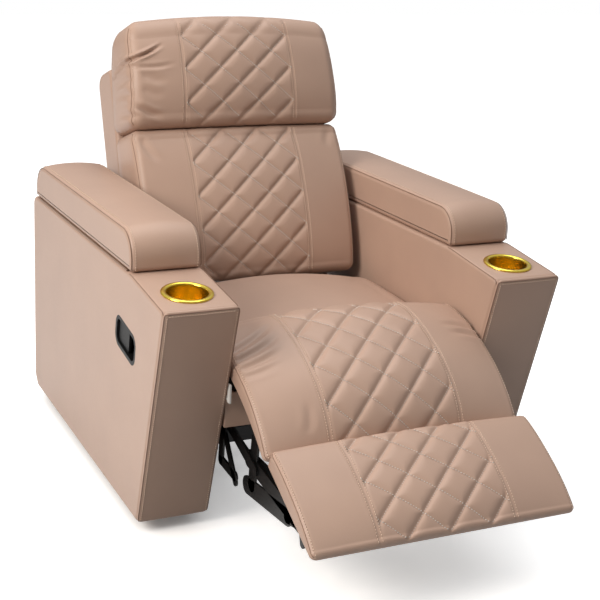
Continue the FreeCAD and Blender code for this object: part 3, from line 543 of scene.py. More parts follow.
def stitches(name, rows, look, body, width=1.05, lift=0.9):
    """Rows of stitches. Each row is (path, outward direction at each path point)."""
    points, faces = [], []
    for path, outward in rows:
        spots, way, share = even_walk(path, STITCH_PITCH)
        if not len(spots):
            continue
        known = np.linspace(0, 1, len(outward))
        up = unit(np.stack([np.interp(share, known, outward[:, k]) for k in range(3)], 1))
        side = unit(np.cross(way, up)) * width
        centre = spots + up * lift
        end = way * STITCH_LENGTH / 2
        low, shallow = (up * sink for sink in STITCH_SINKS)
        corners = [centre - end - low, centre + end - low, centre + side - shallow, centre - side - shallow,
                   centre + up * width, centre - up * width]
        first = len(points)
        points += list(np.stack(corners, 1).reshape(-1, 3))
        faces += [tuple(n + i for i in face) for n in range(first, len(points), 6) for face in STITCH_FACES]
    return piece(name, points, faces, look, body)


def beads(name, paths, radius, look, body, sides=6):
    """Thin round beads along paths: dark lines of painted shade along seam folds."""
    points, faces = [], []
    angles = [2 * math.pi * j / sides for j in range(sides)]
    for path in paths:
        path = np.asarray(path, float)
        way = unit(np.gradient(path, axis=0))
        first = unit(np.cross(way, OFF_AXIS))
        second = np.cross(way, first)
        start = len(points)
        last = start + (len(path) - 1) * sides
        rings = [path + radius * (math.cos(a) * first + math.sin(a) * second) for a in angles]
        points += list(np.stack(rings, 1).reshape(-1, 3))
        for r in range(start, last, sides):
            faces += [(r + j, r + (j + 1) % sides, r + sides + (j + 1) % sides, r + sides + j)
                      for j in range(sides)]
        faces += [tuple(range(end, end + sides)) for end in (start, last)]
    return piece(name, points, faces, look, body)


def bell(d, width):
    """A soft ridge round zero."""
    return np.exp(-(d / width) ** 2)


def crease(d, width):
    """A sewn line's profile: a narrow valley with soft shoulders."""
    return np.exp(-(np.sqrt(d * d + LINE_FLOOR * LINE_FLOOR) - LINE_FLOOR) / width)


def smooth_step(t):
    """From 0 to 1 with level ends."""
    t = np.clip(t, 0, 1)
    return t * t * (3 - 2 * t)


@dataclass
class Quilt:
    """A panel of sewn diamonds between two double-stitched seams."""
    half: float
    diamond_width: float
    diamond_length: float
    shift: float

    def relief(self, x, s):
        """Height change at a place across (x) and along (s) the pad."""
        wide, long = self.diamond_width, self.diamond_length
        p = x / wide + (s - self.shift) / long
        q = x / wide - (s - self.shift) / long
        pitch = wide * long / math.hypot(wide, long)
        dp, dq = (np.abs(v - np.round(v)) * pitch for v in (p, q))
        off = np.abs(x) - self.half
        inside = smooth_step((-PANEL_FADE[0] - off) / PANEL_FADE[1])
        puff = PUFF[0] * smooth_step(np.minimum(dp, dq) / PUFF[1])
        lines = np.maximum(DEEP_LINE[0] * crease(dp, DEEP_LINE[1]), FINE_LINE[0] * crease(dq, FINE_LINE[1]))
        ridge = SEAM_RIDGE[0] * bell(off, SEAM_RIDGE[1])
        valley = SEAM_VALLEY[0] * bell(off, SEAM_VALLEY[1])
        rows = ROW_VALLEY[0] * bell(np.abs(off) - SEAM_ROW, ROW_VALLEY[1])
        return inside * (puff - lines) + ridge - valley - rows

    def rows(self, pad, margin):
        """Stitch rows along both families of diagonals, as (deep rows, fine rows)."""
        families = ([], [])
        reach = int(self.half / self.diamond_width + pad.length / self.diamond_length) + 3
        x = np.linspace(-self.half + 3, self.half - 3, 160)
        for k in range(-reach, reach + 1):
            for which, sign in ((0, -1), (1, 1)):
                s = self.shift + sign * self.diamond_length * (x / self.diamond_width - k)
                keep = (s > margin[0]) & (s < pad.length - margin[1])
                if keep.sum() >= 8:
                    families[which].append(pad.on_top(x[keep], s[keep]))
        return families


@dataclass
class Pad:
    """A closed, crowned pad on a base line that runs down from (Y, Z) between two slopes, with sewn relief.

    Edges are its heights at the sides, near and far. Swell and crown raise its middle, along and across, and
    bow its length. Side, near, far, top_round and under are the reaches of its roundings. Bulge widens it,
    taper makes its far end wider, and arch carries its near corners along. Detail and side_detail are relief,
    and lean moves it square to the base line.
    """

    base: tuple
    slopes: tuple
    length: float
    half: float
    edges: tuple
    swell: float
    crown: float
    side: float
    near: float
    far: float
    top_round: float
    under: float
    detail: object = None
    bulge: float = 0.0
    lean: object = None
    side_detail: object = None
    taper: float = 0.0
    arch: float = 0.0
    bow: float = 0.0
    soft_end: bool = False

    def line(self, s):
        """The base line's Y, Z and angle at places along it."""
        first, last = self.slopes
        if first == last:
            a = np.full_like(s, math.radians(first))
            return self.base[0] - s * np.cos(a), self.base[1] - s * np.sin(a), a
        bend = self.length / math.radians(last - first)
        start = math.radians(first)
        a = start + s / bend
        return (self.base[0] - bend * (np.sin(a) - math.sin(start)),
                self.base[1] + bend * (np.cos(a) - math.cos(start)), a)

    def height(self, x, s):
        """Height above the base line, before relief."""
        t = np.clip(s / self.length, 0, 1)
        full = (1 - np.abs(2 * t - 1) ** END_POWER) ** (1 / END_POWER)
        if self.soft_end:
            reach, rise = SOFT_END_POWERS
            full = np.where(t > 0.5, (1 - np.abs(2 * t - 1) ** reach) ** rise, full)
        across = np.clip(1 - (x / self.half) ** 2, 0, 1)
        edge = self.edges[0] + (self.edges[1] - self.edges[0]) * t
        return edge + self.swell * full + self.crown * full * across + self.bow * 4 * t * (1 - t)

    def place(self, a, b, zone, t):
        """Lattice place to a point and its outward direction. Zones: 0 underside, 1 side, 2 top edge."""
        ca = np.clip(a, -self.half + self.side, self.half - self.side)
        cb = np.clip(b, self.near, self.length - self.far)
        reach = np.where(b < self.length / 2, self.near, self.far)
        tall = self.height(ca, cb)
        low = np.full_like(tall, self.under)
        high = tall - self.top_round
        ch = np.where(zone == 0, low, np.where(zone == 2, high, low + (high - low) * t))
        na = (a - ca) / self.side
        nb = (b - cb) / reach
        nh = np.where(zone == 0, t - 1, np.where(zone == 2, t, 0.0))
        size = np.maximum(np.sqrt(na * na + nb * nb + nh * nh), TINY)
        na, nb, nh = na / size, nb / size, nh / size
        x = ca + self.side * na
        s = cb + reach * nb
        h = ch + np.where(nh < 0, self.under, self.top_round) * nh
        share = np.clip(h / np.maximum(tall, 1), 0, 1)
        x = x * (1 + self.taper * (s / self.length - 0.5))
        middle = np.sin(math.pi * share) * np.sin(math.pi * np.clip(s / self.length, 0, 1))
        x = x * (1 + self.bulge / self.half * middle)
        if self.detail is not None:
            h = h + self.detail(x, s) * np.clip(nh, 0, 1) ** TOP_FADE
        if self.side_detail is not None:
            x = x - self.side_detail(h, s) * np.clip(-na, 0, 1) ** SIDE_FADE
        s = s + self.arch * (x / self.half) ** 2 * (1 - s / self.length)
        y, z, angle = self.line(s)
        if self.lean is not None:
            h = h + self.lean(s, h)
        c, d = np.cos(angle), np.sin(angle)
        point = np.stack([x, y - h * d, z + h * c], -1)
        out = np.stack([na, -nb * c - nh * d, -nb * d + nh * c], -1)
        return point, out

    def on_top(self, x, s):
        """Points and outward directions on the top at places across and along the pad."""
        x = np.asarray(x, float)
        s = np.asarray(s, float)
        return self.place(x, s, np.full(x.shape, 2), np.ones(x.shape))

    def rim(self, degrees=SEAM_ANGLE, count=90):
        """Paths along the rounded top edges, left and right, at an angle round the edge from its side."""
        steep = math.tan(math.radians(degrees))
        b = np.linspace(0, self.length, count)
        a = self.half - self.side + self.side * min(1, 1 / steep)
        share = np.full(count, min(1, steep))
        return [self.place(np.full(count, side * a), b, np.full(count, 2), share) for side in (-1, 1)]

    def mesh(self, fine):
        """Points and faces of the closed surface, with points about this far apart."""
        turn = np.tan(np.radians(np.linspace(0, 45, 6)))
        inner = self.half - self.side
        mid = np.linspace(-inner, inner, max(3, int(2 * inner / fine)))
        a = np.concatenate([-inner - self.side * turn[:0:-1], mid, inner + self.side * turn[1:]])
        near, far = self.near, self.length - self.far
        run = np.linspace(near, far, max(3, int((far - near) / fine)))
        b = np.concatenate([near - self.near * turn[:0:-1], run, far + self.far * turn[1:]])
        levels = [(0, 1 - v) for v in turn[:0:-1]] + [(1, v) for v in np.linspace(0, 1, 5)]
        levels += [(2, v) for v in turn[1:]]
        na, nb, nc = len(a), len(b), len(levels)
        keys = {}
        order = []

        def index(i, j, k):
            if (i, j, k) not in keys:
                keys[(i, j, k)] = len(order)
                order.append((i, j, k))
            return keys[(i, j, k)]

        faces = []
        for k in (0, nc - 1):
            faces += [(index(i, j, k), index(i + 1, j, k), index(i + 1, j + 1, k), index(i, j + 1, k))
                      for i in range(na - 1) for j in range(nb - 1)]
        for i in (0, na - 1):
            faces += [(index(i, j, k), index(i, j + 1, k), index(i, j + 1, k + 1), index(i, j, k + 1))
                      for j in range(nb - 1) for k in range(nc - 1)]
        for j in (0, nb - 1):
            faces += [(index(i, j, k), index(i + 1, j, k), index(i + 1, j, k + 1), index(i, j, k + 1))
                      for i in range(na - 1) for k in range(nc - 1)]
        order = np.array(order)
        zone = np.array([z for z, _ in levels])[order[:, 2]]
        share = np.array([t for _, t in levels])[order[:, 2]]
        points, _ = self.place(a[order[:, 0]], b[order[:, 1]], zone, share)
        return points, faces


def millimetres(length):
    """A length setting, kept in metres, in millimetres."""
    return round(length / MM, 3)


def quilt_panel(panel_width, shift):
    """The quilt of a panel, with its diamonds moved along the pad."""
    sizes = bpy.context.scene.recliner_quilt
    diamond = (millimetres(sizes.diamond_width), millimetres(sizes.diamond_length))
    return Quilt(millimetres(panel_width) / 2, *diamond, shift)


def wrinkles(lines):
    """Relief of creases given as ((x, s) start, (x, s) end, depth, width)."""
    def relief(x, s):
        total = np.zeros_like(x)
        for (x0, s0), (x1, s1), depth, width in lines:
            dx, ds = x1 - x0, s1 - s0
            size = math.hypot(dx, ds)
            t = ((x - x0) * dx + (s - s0) * ds) / (size * size)
            d = ((x - x0) * ds - (s - s0) * dx) / size
            d = d + CREASE_BEND * size * np.sin(np.pi * np.clip(t, 0, 1))
            fade = smooth_step(t / CREASE_FADES[0]) * smooth_step((1 - t) / CREASE_FADES[1])
            total += -depth * fade * (bell(d, width) - CREASE_RIDGE * bell(np.abs(d) - 2 * width, width))
        return total
    return relief


def pad_stitching(name, pad, quilt, body, margin):
    """Thread along the diamonds and beside the panel's seams, and a dark bead of painted shade along the fold
    of the pad's side seams.
    """
    deep, fine = quilt.rows(pad, margin)
    made = [stitches(name + "_quilt_thread", fine, "grey_thread", body, width=1.3),
            stitches(name + "_deep_thread", deep, "grey_thread", body, width=1.0, lift=0.5)]
    s = np.linspace(4, pad.length - 4, 90)
    rows = [pad.on_top(np.full_like(s, side * (quilt.half + off)), s)
            for side in (-1, 1) for off in (-SEAM_ROW, SEAM_ROW)]
    rows += pad.rim(SEAM_ANGLE + math.degrees(1.5 * SEAM_ROW / pad.side))
    made.append(stitches(name + "_seam_thread", rows, "tan_thread", body))
    # A dark bead of painted shade along each side seam's fold
    made.append(beads(name + "_seam_fold", [p + o * 0.1 for p, o in pad.rim()], 0.8, "seam", body))
    return made


def arm_outline(back):
    """The arm cover's outline, with its front set back by the front panel's thickness."""
    front, low = ARM_FRONT_BOTTOM
    corners = [
        (front + back, low, 12),
        (ARM_REAR_Y - ARM_CHAMFER, low, 14),
        (ARM_REAR_Y, low + ARM_CHAMFER, 14),
        (*ARM_REAR_TOP, 24),
        (*ARM_CREST, 260),
        (ARM_FRONT_TOP[0] + back, ARM_FRONT_TOP[1], 12),
    ]
    return split_long(rounded(corners), 60)


def release_recess():
    """The tilted opening for the release housing."""
    length, height = RELEASE_SIZE
    ways = ((-1, -1), (1, -1), (1, 1), (-1, 1))
    corners = [(i * length / 2, j * height / 2, RELEASE_CORNER) for i, j in ways]
    a = math.radians(RELEASE_TILT)
    turn = [(RELEASE_Y + y * math.cos(a) - z * math.sin(a), RELEASE_Z + y * math.sin(a) + z * math.cos(a))
            for y, z in rounded(corners)]
    return block(turn, -HALF_WIDTH - 20, -HALF_WIDTH + RELEASE_DEPTH + 1)


def arm_cuts(side, slack=3.0, above=30.0):
    """The storage space, the cup's hole and, on the left, the release housing's recess."""
    sign = SIDES[side]
    well = [(WELL_FRONT_Y, WELL_FLOOR), (WELL_REAR_Y, WELL_FLOOR), (WELL_REAR_Y, WELL_TOP),
            (WELL_FRONT_Y, WELL_TOP)]
    cuts = [block(well, sign * (HALF_WIDTH - WELL_INSET[0]), sign * (INNER_FACE + WELL_INSET[1]))]
    low, radius = -CUP_DEPTH - slack - 1, CUP_BORE + slack
    hole, faces = turned([(0, low), (radius, low), (radius, above), (0, above)], 64)
    cuts.append(placed("cutter", closed_mesh("cutter", cup_space(hole, side), faces)))
    if side == "left":
        cuts.append(release_recess())
    return cuts


def arm_front(side, lean):
    """The padded front panel with its thread, and dark beads of painted shade along its seam folds."""
    middle = [SIDES[side] * (HALF_WIDTH + INNER_FACE) / 2, 0, 0]
    run = math.dist(ARM_FRONT_TOP, ARM_FRONT_BOTTOM)
    slope = 90 + math.degrees(lean)
    base = down_slope(ARM_FRONT_TOP, slope, 0, -FRONT_COVER)
    half = (HALF_WIDTH - INNER_FACE) / 2
    front = Pad(base, (slope, slope), run, half, edges=(FRONT_COVER, FRONT_COVER), swell=0.0, crown=2.0,
                side=11, near=11, far=11, top_round=5, under=3)
    points, faces = front.mesh(FRONT_STEP)
    panel = piece("arm_front_cover_" + side, points + middle, faces, "leather", "root")
    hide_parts("arm_front_panel_" + side)
    s = np.linspace(10, run - 8, 120)
    x = np.linspace(-half + 10, half - 10, 30)
    rows = [front.on_top(np.full_like(s, at), s) for at in (-half + 7, half - 7)]
    rows.append(front.on_top(x, np.full_like(x, 8.0)))
    stitches("arm_front_thread_" + side, [(p + middle, o) for p, o in rows], "tan_thread", "root")
    # Dark beads of painted shade along the panel's seam folds
    x = np.linspace(-half, half, 40)
    rims = front.rim() + [front.on_top(x, np.zeros_like(x))]
    beads("arm_front_seam_shade_" + side, [p + o * 0.2 + middle for p, o in rims], 1.0, "seam", "root")


def arm_seam_shade_lines(side, outline):
    """Dark beads of painted shade at the folds along the arm's top edges in front of the lid."""
    edge = inset(outline, 1.6)
    top = edge[(edge[:, 1] > ARM_FRONT_TOP[1] - 20) & (edge[:, 0] < LID_FRONT_Y + 10)]
    top = top[np.argsort(top[:, 0])]
    paths = [mirrored([(x, y, z) for y, z in top], SIDES[side])
             for x in (-HALF_WIDTH + 2.0, -INNER_FACE - 2.0)]
    beads("arm_seam_fold_" + side, paths, 0.9, "seam", "root")


def upholster_arm(side):
    """The arm's cover: one tight skin with a padded front panel, over the arm's boards."""
    lean = math.atan2(ARM_FRONT_BOTTOM[0] - ARM_FRONT_TOP[0], ARM_FRONT_TOP[1] - ARM_FRONT_BOTTOM[1])
    outline = arm_outline((FRONT_COVER - 2) / math.cos(lean))
    points, faces = prism(outline, -HALF_WIDTH, -INNER_FACE, ARM_BEVEL)
    cover = piece("arm_cover_" + side, mirrored(points, SIDES[side]), faces, "leather", "root")
    carve(cover, arm_cuts(side))
    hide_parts(*[n + side for n in ("arm_outer_panel_", "arm_inner_panel_", "arm_rear_panel_",
                                            "arm_top_board_")])
    arm_front(side, lean)
    arm_seam_shade_lines(side, outline)


def cup_space(points, side):
    """From the cup's own space, with its mouth at the origin, to its place in the arm's top."""
    rise = math.atan2(ARM_CREST[1] - ARM_FRONT_TOP[1], ARM_CREST[0] - ARM_FRONT_TOP[0])
    turn = Matrix.Rotation(rise, 3, "X")
    moved = np.array([turn @ Vector(p) for p in points])
    return moved + [SIDES[side] * (HALF_WIDTH + INNER_FACE) / 2, CUP_Y, arm_top(CUP_Y)]


def make_cup(side):
    """A spun cup with a rolled rim and a rounded foot."""
    outer = CUP_BORE + CUP_WALL
    profile = [(0, -CUP_DEPTH - CUP_WALL), (CUP_BORE - 6, -CUP_DEPTH - CUP_WALL), (outer, -CUP_DEPTH + 6)]
    profile += [(outer, -0.5), (CUP_FLANGE - 2, -0.3)]
    middle, reach = (CUP_FLANGE + CUP_BORE) / 2, (CUP_FLANGE - CUP_BORE) / 2
    for k in range(9):
        a = math.radians(-40 + 220 * k / 8)
        profile.append((middle + reach * math.cos(a), 1.2 + 3.4 * math.sin(a)))
    profile += [(CUP_BORE, -4), (CUP_BORE, -CUP_DEPTH + CUP_FOOT)]
    for k in range(1, 7):
        a = math.radians(90 * k / 6)
        profile.append((CUP_BORE - CUP_FOOT * (1 - math.cos(a)), -CUP_DEPTH + CUP_FOOT * (1 - math.sin(a))))
    profile.append((0, -CUP_DEPTH))
    points, faces = turned(profile)
    cup = piece("cup_" + side, cup_space(points, side), faces, "gold", "root")
    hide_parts("cup_holder_" + side)


def lid_base(y):
    """Height of the lid cushion's lower edge at a place along the arm."""
    return arm_top(y) + LID_GAP - LID_SKIRT


def lid_outline():
    """The lid cushion's outline from its lower front corner."""
    front, rear = lid_base(LID_FRONT_Y), lid_base(LID_REAR_Y)
    corners = [(LID_FRONT_Y, front), (LID_REAR_Y, rear), (LID_REAR_Y + 2, rear + LID_HEIGHT),
               (LID_FRONT_Y + 3, front + LID_HEIGHT)]
    return split_long(rounded([(*corner, r) for corner, r in zip(corners, LID_ROUNDS)], 16), 24)


def crowned(points, middle, half):
    """Left lid points raised towards the middle of its top and pushed out at its front."""
    points = np.array(points, float)
    y, z = points[:, 1], points[:, 2]
    level = np.clip((z - np.array([lid_base(v) for v in y])) / LID_HEIGHT, 0, 1)
    off = (points[:, 0] + middle) / half
    points[:, 2] += LID_CROWN * level ** 2 * (1 - np.clip(off, -1, 1) ** 2)
    push = LID_PUSH * np.clip(1 - off ** 2, 0, 1) * np.sin(math.pi * np.clip(level, 0, 1))
    points[:, 1] += np.where(y < LID_FRONT_Y + 60, -push, 0)
    return points


def make_lid(side):
    """The arm pad: a side panel each side, and a top panel that wraps over both ends."""
    sign = SIDES[side]
    outline = lid_outline()
    middle = (HALF_WIDTH + INNER_FACE) / 2
    half = (HALF_WIDTH - INNER_FACE) / 2 - 2
    points, faces = prism(outline, -middle - half, -middle + half, LID_EDGE, across=22, steps=6)
    points = mirrored(crowned(points, middle, half), sign)
    pad = piece("lid_cushion_" + side, points, faces, "leather", "lid_" + side)
    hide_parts("lid_pad_" + side)
    above = outline[:, 1] > np.array([lid_base(v) for v in outline[:, 0]]) + 4
    start = -int(np.argmin(above))
    loop, keep = np.roll(outline, start, axis=0), np.roll(above, start)
    seam, row = inset(loop, LID_SEAM_INSET)[keep], loop[keep]
    centre = np.array([sign * middle, (LID_FRONT_Y + LID_REAR_Y) / 2, lid_base(200)])
    rows, folds = [], []
    for way in (-1, 1):
        x = -middle + way * (half - LID_SEAM_INSET)
        folds.append(mirrored([(x, y, z) for y, z in seam], sign))
        path = mirrored(crowned([(x - way * LID_ROW_INSET, y, z) for y, z in row], middle, half), sign)
        out = np.gradient(path, axis=0)
        out = np.stack([np.zeros(len(out)), -out[:, 2], out[:, 1]], 1)
        flip = np.sign(np.sum(out * (path - centre), 1))
        rows.append((path, out * flip[:, None]))
    stitches("lid_thread_" + side, rows, "tan_thread", "lid_" + side)
    # The folds get dark beads of painted shade along the lid's side seams
    beads("lid_seam_fold_" + side, folds, 0.9, "seam", "lid_" + side)


def shell_cut(top, slack, rear, half):
    """A block that opens the shell at its front and below, up to a height."""
    low = SHELL_BOTTOM - slack
    corners = ((low, slack), (top, slack), (top, rear), (low, rear))
    return block([back_place(*corner) for corner in corners], -half, half)


def make_shell():
    """The back's padded shell, open at the front and below."""
    corners = ((SHELL_BOTTOM, 0, 12), (SHELL_TOP, 0, 24), (SHELL_TOP, -SHELL_DEPTH, 38),
               (SHELL_BOTTOM, -SHELL_DEPTH, 12))
    outline = rounded([(*back_place(up, forward), radius) for up, forward, radius in corners])
    points, faces = prism(split_long(outline, 40), -BACK_HALF, BACK_HALF, 12.0, across=12)
    shell = piece("back_shell", points, faces, "leather", "back")
    rear = -SHELL_DEPTH + SHELL_WALL
    carve(shell, [shell_cut(SHELL_TOP - SHELL_WALL, 40, rear, SHELL_ROOM_HALF),
                  shell_cut(SHELL_NOTCH_TOP, 41, rear - 0.01, SHELL_NOTCH_HALF)])
    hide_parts("back_side_panels", "back_rear_panel", "back_top_cap")


def chaise_squash(made):
    """Gives each of the chaise pad's objects a mesh of its own."""
    for obj in made:
        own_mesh(obj)


def make_lower_back():
    """The quilted cushion for the small of the back."""
    quilt = quilt_panel(bpy.context.scene.recliner_quilt.back_width, 50.0)
    folds = wrinkles([((-268, 20), (-225, 90), 3.0, 9), ((262, 15), (238, 70), 2.0, 10)])
    top = BACK_SEAM - 0.5
    pad = Pad(back_place(top, 0), (BACK_SLOPE, BACK_SLOPE), top - LOWER_BACK_START, LOWER_BACK_HALF,
              edges=(112, 146), swell=18, crown=24, side=22, near=26, far=26, top_round=24, under=6,
              detail=lambda x, s: quilt.relief(x, s) + folds(x, s), bulge=3, bow=20)
    points, faces = pad.mesh(QUILTED_STEP)
    cushion = piece("lower_back_pad", points, faces, "leather", "back")
    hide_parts("lower_back_cushion")
    pad_stitching("lower_back", pad, quilt, "back", (18, 20))


def headrest_lean(s, h):
    """How far the headrest's rear face comes forward above the shell."""
    above = np.clip((HEADREST_TOP - s - SHELL_TOP) / (HEADREST_TOP - SHELL_TOP), 0, 1)
    return HEADREST_LEAN * above * np.clip(1 - h / 80, 0, 1)


def make_headrest():
    """The quilted headrest with creases across its left end."""
    quilt = quilt_panel(bpy.context.scene.recliner_quilt.back_width, 96.0)
    folds = wrinkles([((-310, 108), (-188, 68), 9.0, 4), ((-285, 122), (-160, 122), 2.5, 5),
                      ((-280, 222), (-200, 258), 6.0, 7), ((-262, 142), (-185, 170), 2.0, 10),
                      ((-262, 180), (-200, 205), 1.8, 10)])
    side_folds = wrinkles([((200, 104), (0, 138), 10.0, 5), ((160, 155), (60, 165), 3.0, 8),
                           ((160, 200), (50, 185), 3.0, 8), ((170, 262), (60, 235), 4.0, 8)])
    length = HEADREST_TOP - BACK_SEAM - 0.5
    pad = Pad(back_place(HEADREST_TOP, 0), (BACK_SLOPE, BACK_SLOPE), length, BACK_HALF,
              edges=(94, 104), swell=50, crown=22, side=34, near=52, far=34, top_round=36, under=6,
              detail=lambda x, s: quilt.relief(x, s) + folds(x, s), bulge=2, lean=headrest_lean,
              side_detail=side_folds, taper=0.05, arch=14, bow=12)
    points, faces = pad.mesh(QUILTED_STEP)
    cushion = piece("headrest_pad", points, faces, "leather", "back")
    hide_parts("headrest_cushion")
    pad_stitching("headrest", pad, quilt, "back", (20, 18))


def make_seat_cushion():
    """The smooth cushion of the seat."""
    seat = Pad((SEAT_REAR_Y, SEAT_BASE_Z), (0.0, 0.0), SEAT_REAR_Y - SEAT_SPLIT_Y, PAD_HALF,
               edges=(46, 42), swell=6, crown=48, side=60, near=44, far=24, top_round=38, under=6)
    points, faces = seat.mesh(PLAIN_STEP)
    cushion = piece("seat_pad", points, faces, "leather", "seat_carriage")
    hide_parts("seat_cushion")


def make_chaise():
    """The quilted pad from the seat down to the footrest, creased at both sides."""
    quilt = quilt_panel(bpy.context.scene.recliner_quilt.seat_width, 67.0)
    folds = wrinkles([((-320, 122), (-175, 52), 3.6, 7), ((-320, 146), (-170, 92), 3.2, 7),
                      ((-320, 166), (-180, 136), 3.2, 7), ((-320, 184), (-205, 170), 2.0, 7),
                      ((320, 132), (205, 112), 4.0, 8), ((320, 154), (215, 140), 4.0, 8),
                      ((-205, 335), (-190, 262), 1.8, 9)])
    pad = Pad((SEAT_SPLIT_Y - 0.5, CHAISE_START_Z), CHAISE_SLOPES, CHAISE_LENGTH, PAD_HALF,
              edges=CHAISE_EDGES, swell=20, crown=38, side=18, near=22, far=12, top_round=17, under=5,
              detail=lambda x, s: quilt.relief(x, s) + folds(x, s), soft_end=True)
    points, faces = pad.mesh(QUILTED_STEP)
    made = [piece("chaise_cushion", points, faces, "leather", "seat_carriage")]
    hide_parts("chaise_pad")
    made += pad_stitching("chaise", pad, quilt, "seat_carriage", (14, 3))
    chaise_squash(made)


def make_footrest():
    """The quilted cushion of the footrest."""
    quilt = quilt_panel(bpy.context.scene.recliner_quilt.seat_width, -10.0)
    pad = Pad(footrest_under(0, 0), (FOOTREST_BASE_SLOPE, FOOTREST_BASE_SLOPE), FOOTREST_LENGTH, PAD_HALF,
              edges=(32, 13), swell=12, crown=15, side=14, near=16, far=12, top_round=13, under=5,
              detail=quilt.relief, bow=6, soft_end=True)
    points, faces = pad.mesh(QUILTED_STEP)
    cushion = piece("footrest_pad", points, faces, "leather", "footrest")
    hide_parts("footrest_cushion")
    pad_stitching("footrest", pad, quilt, "footrest", (6, 3))


def layer(number):
    """Outer and inner X of a steel layer on the left side, 0 being the side plate."""
    outer = -PLATE_X + number * LAYER
    return outer, outer + STEEL


def footrest_under(along, above):
    """A place on or under the footrest pad's base line."""
    start = down_slope(FOOTREST_CORNER, FOOTREST_SLOPE, 0, -FOOTREST_BELOW)
    return down_slope(start, FOOTREST_BASE_SLOPE, along, above)


def strap_outline(start, end, width, steps=14):
    """A flat bar's outline with round ends."""
    a, b = Vector(start), Vector(end)
    turn = math.atan2((b - a).y, (b - a).x)
    points = []
    for centre, first in ((b, turn - math.pi / 2), (a, turn + math.pi / 2)):
        for k in range(steps + 1):
            at = first + math.pi * k / steps
            points.append((centre.x + width / 2 * math.cos(at), centre.y + width / 2 * math.sin(at)))
    return np.array(points)


def steel_bars(name, parts, body):
    """Flat steel bars with softened edges, on both sides. Each is (outline, layer, extra reach outward)."""
    points, faces = [], []
    for outline, number, flange in parts:
        x0, x1 = layer(number)
        bar, sides = prism(outline, x0 - flange, x1, BAR_EDGE, support=1.0, steps=2)
        for sign in (1, -1):
            n = len(points)
            points += [(sign * x, y, z) for x, y, z in bar]
            faces += [tuple(n + i for i in face) for face in sides]
    return piece(name, points, faces, "steel", body, smooth=False)


def make_mechanism():
    """Brackets under the footrest, and the webs and bars that show beside the links."""
    low = -FOOTREST_BOARD - 9.0
    near, far = 24.0, FOOTREST_LENGTH - 24.0
    board = down_slope(FOOTREST_CORNER, FOOTREST_SLOPE, *BOARD_PIVOT)
    stay = down_slope(FOOTREST_CORNER, FOOTREST_SLOPE, *STAY_PIVOT)
    root = footrest_under(BOARD_PIVOT[0], low)
    flange = np.array([footrest_under(near, -FOOTREST_BOARD), footrest_under(far, -FOOTREST_BOARD),
                       footrest_under(far, -FOOTREST_BOARD - 3), footrest_under(near, -FOOTREST_BOARD - 3)])
    parts = [(strap_outline(footrest_under(near + 9, low), footrest_under(far - 9, low), 17), 3, 0),
             (flange, 3, 15), (strap_outline(root, board, 27), 3, 0), (strap_outline(root, stay, 27), 3, 0),
             (strap_outline(board, TAB_END, 20), 3, 0)]
    brackets = steel_bars("footrest_bracket_plates", parts, "footrest")
    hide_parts("footrest_brackets")
    web = [(strap_outline(a, b, w), 0, 0) for a, b, w in FRONT_WEB]
    steel_bars("side_plate_webs", web, "seat_carriage")
    bar = [(strap_outline(a, b, w), 2, 0) for a, b, w in LOWER_BAR]
    steel_bars("front_link_bars", bar, "front_links")


NODE_LOOKS = {
    "steel": ("side_plates", "rear_links", "front_links", "idler_links", "stay_links", "cross_tube_front",
              "cross_tube_rear", "base_rails", "carriage_tube", "back_brackets"),
    "zinc": ("carriage_pins", "rear_link_pins", "front_link_pins", "idler_link_pins", "flange_bolts",
             "release_pin"),
    # The lid hinges take the seam's darker tone as painted shade, so the gap under each lid shows as a brown
    # shadow line
    "seam": ("lid_hinge_fixed_left", "lid_hinge_fixed_right", "lid_hinge_moving_left",
             "lid_hinge_moving_right"),
    "black": ("release_housing", "release_flap", "arm_feet", "seat_runners", "storage_tray_left",
              "storage_tray_right"),
    "white": ("seat_clips",),
    "timber": ("foot_blocks", "seat_rear_rail", "back_uprights", "back_crossrails", "footrest_board",
               "lid_board_left", "lid_board_right"),
    "strap": ("seat_webbing",),
    "leather": ("front_rail", "seat_side_rails"),
}


def finish_frame_nodes():
    """Gives each CAD node that shows its finish."""
    for look, names in NODE_LOOKS.items():
        for name in names:
            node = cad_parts[name]
            node.data.materials.clear()
            node.data.materials.append(finish(look))


def camera_axes():
    """The camera's right, up and backward directions."""
    turn, rise, roll = map(math.radians, (CAMERA_TURN, CAMERA_RISE, CAMERA_ROLL))
    back = Vector((math.sin(turn) * math.cos(rise), -math.cos(turn) * math.cos(rise), math.sin(rise)))
    right = (-back).cross(Vector((0, 0, 1))).normalized()
    up = right.cross(-back)
    tilted = right * math.cos(roll) + up * math.sin(roll)
    return tilted, up * math.cos(roll) - right * math.sin(roll), back


def make_camera():
    """The camera at the photograph's place and angle."""
    right, up, back = camera_axes()
    data = bpy.data.cameras.new("camera")
    data.sensor_width = SENSOR
    data.lens = FOCAL_PIXELS * SENSOR / PICTURE_PIXELS
    data.clip_end = FAR_CLIP
    camera = placed("camera", data)
    matrix = Matrix((right, up, back)).transposed().to_4x4()
    matrix.translation = (Vector(AIM) + back * CAMERA_DISTANCE) * MM
    camera.matrix_world = matrix
    bpy.context.scene.camera = camera


def lamp(name, power, place, target, size, colour):
    """A round lamp turned to its target."""
    data = bpy.data.lights.new(name, "AREA")
    data.shape = "DISK"
    data.size = size
    data.energy = power
    data.color = colour
    made = placed(name, data)
    made.location = place
    made.rotation_mode = "QUATERNION"
    made.rotation_quaternion = (Vector(target) - Vector(place)).to_track_quat("-Z", "Y")


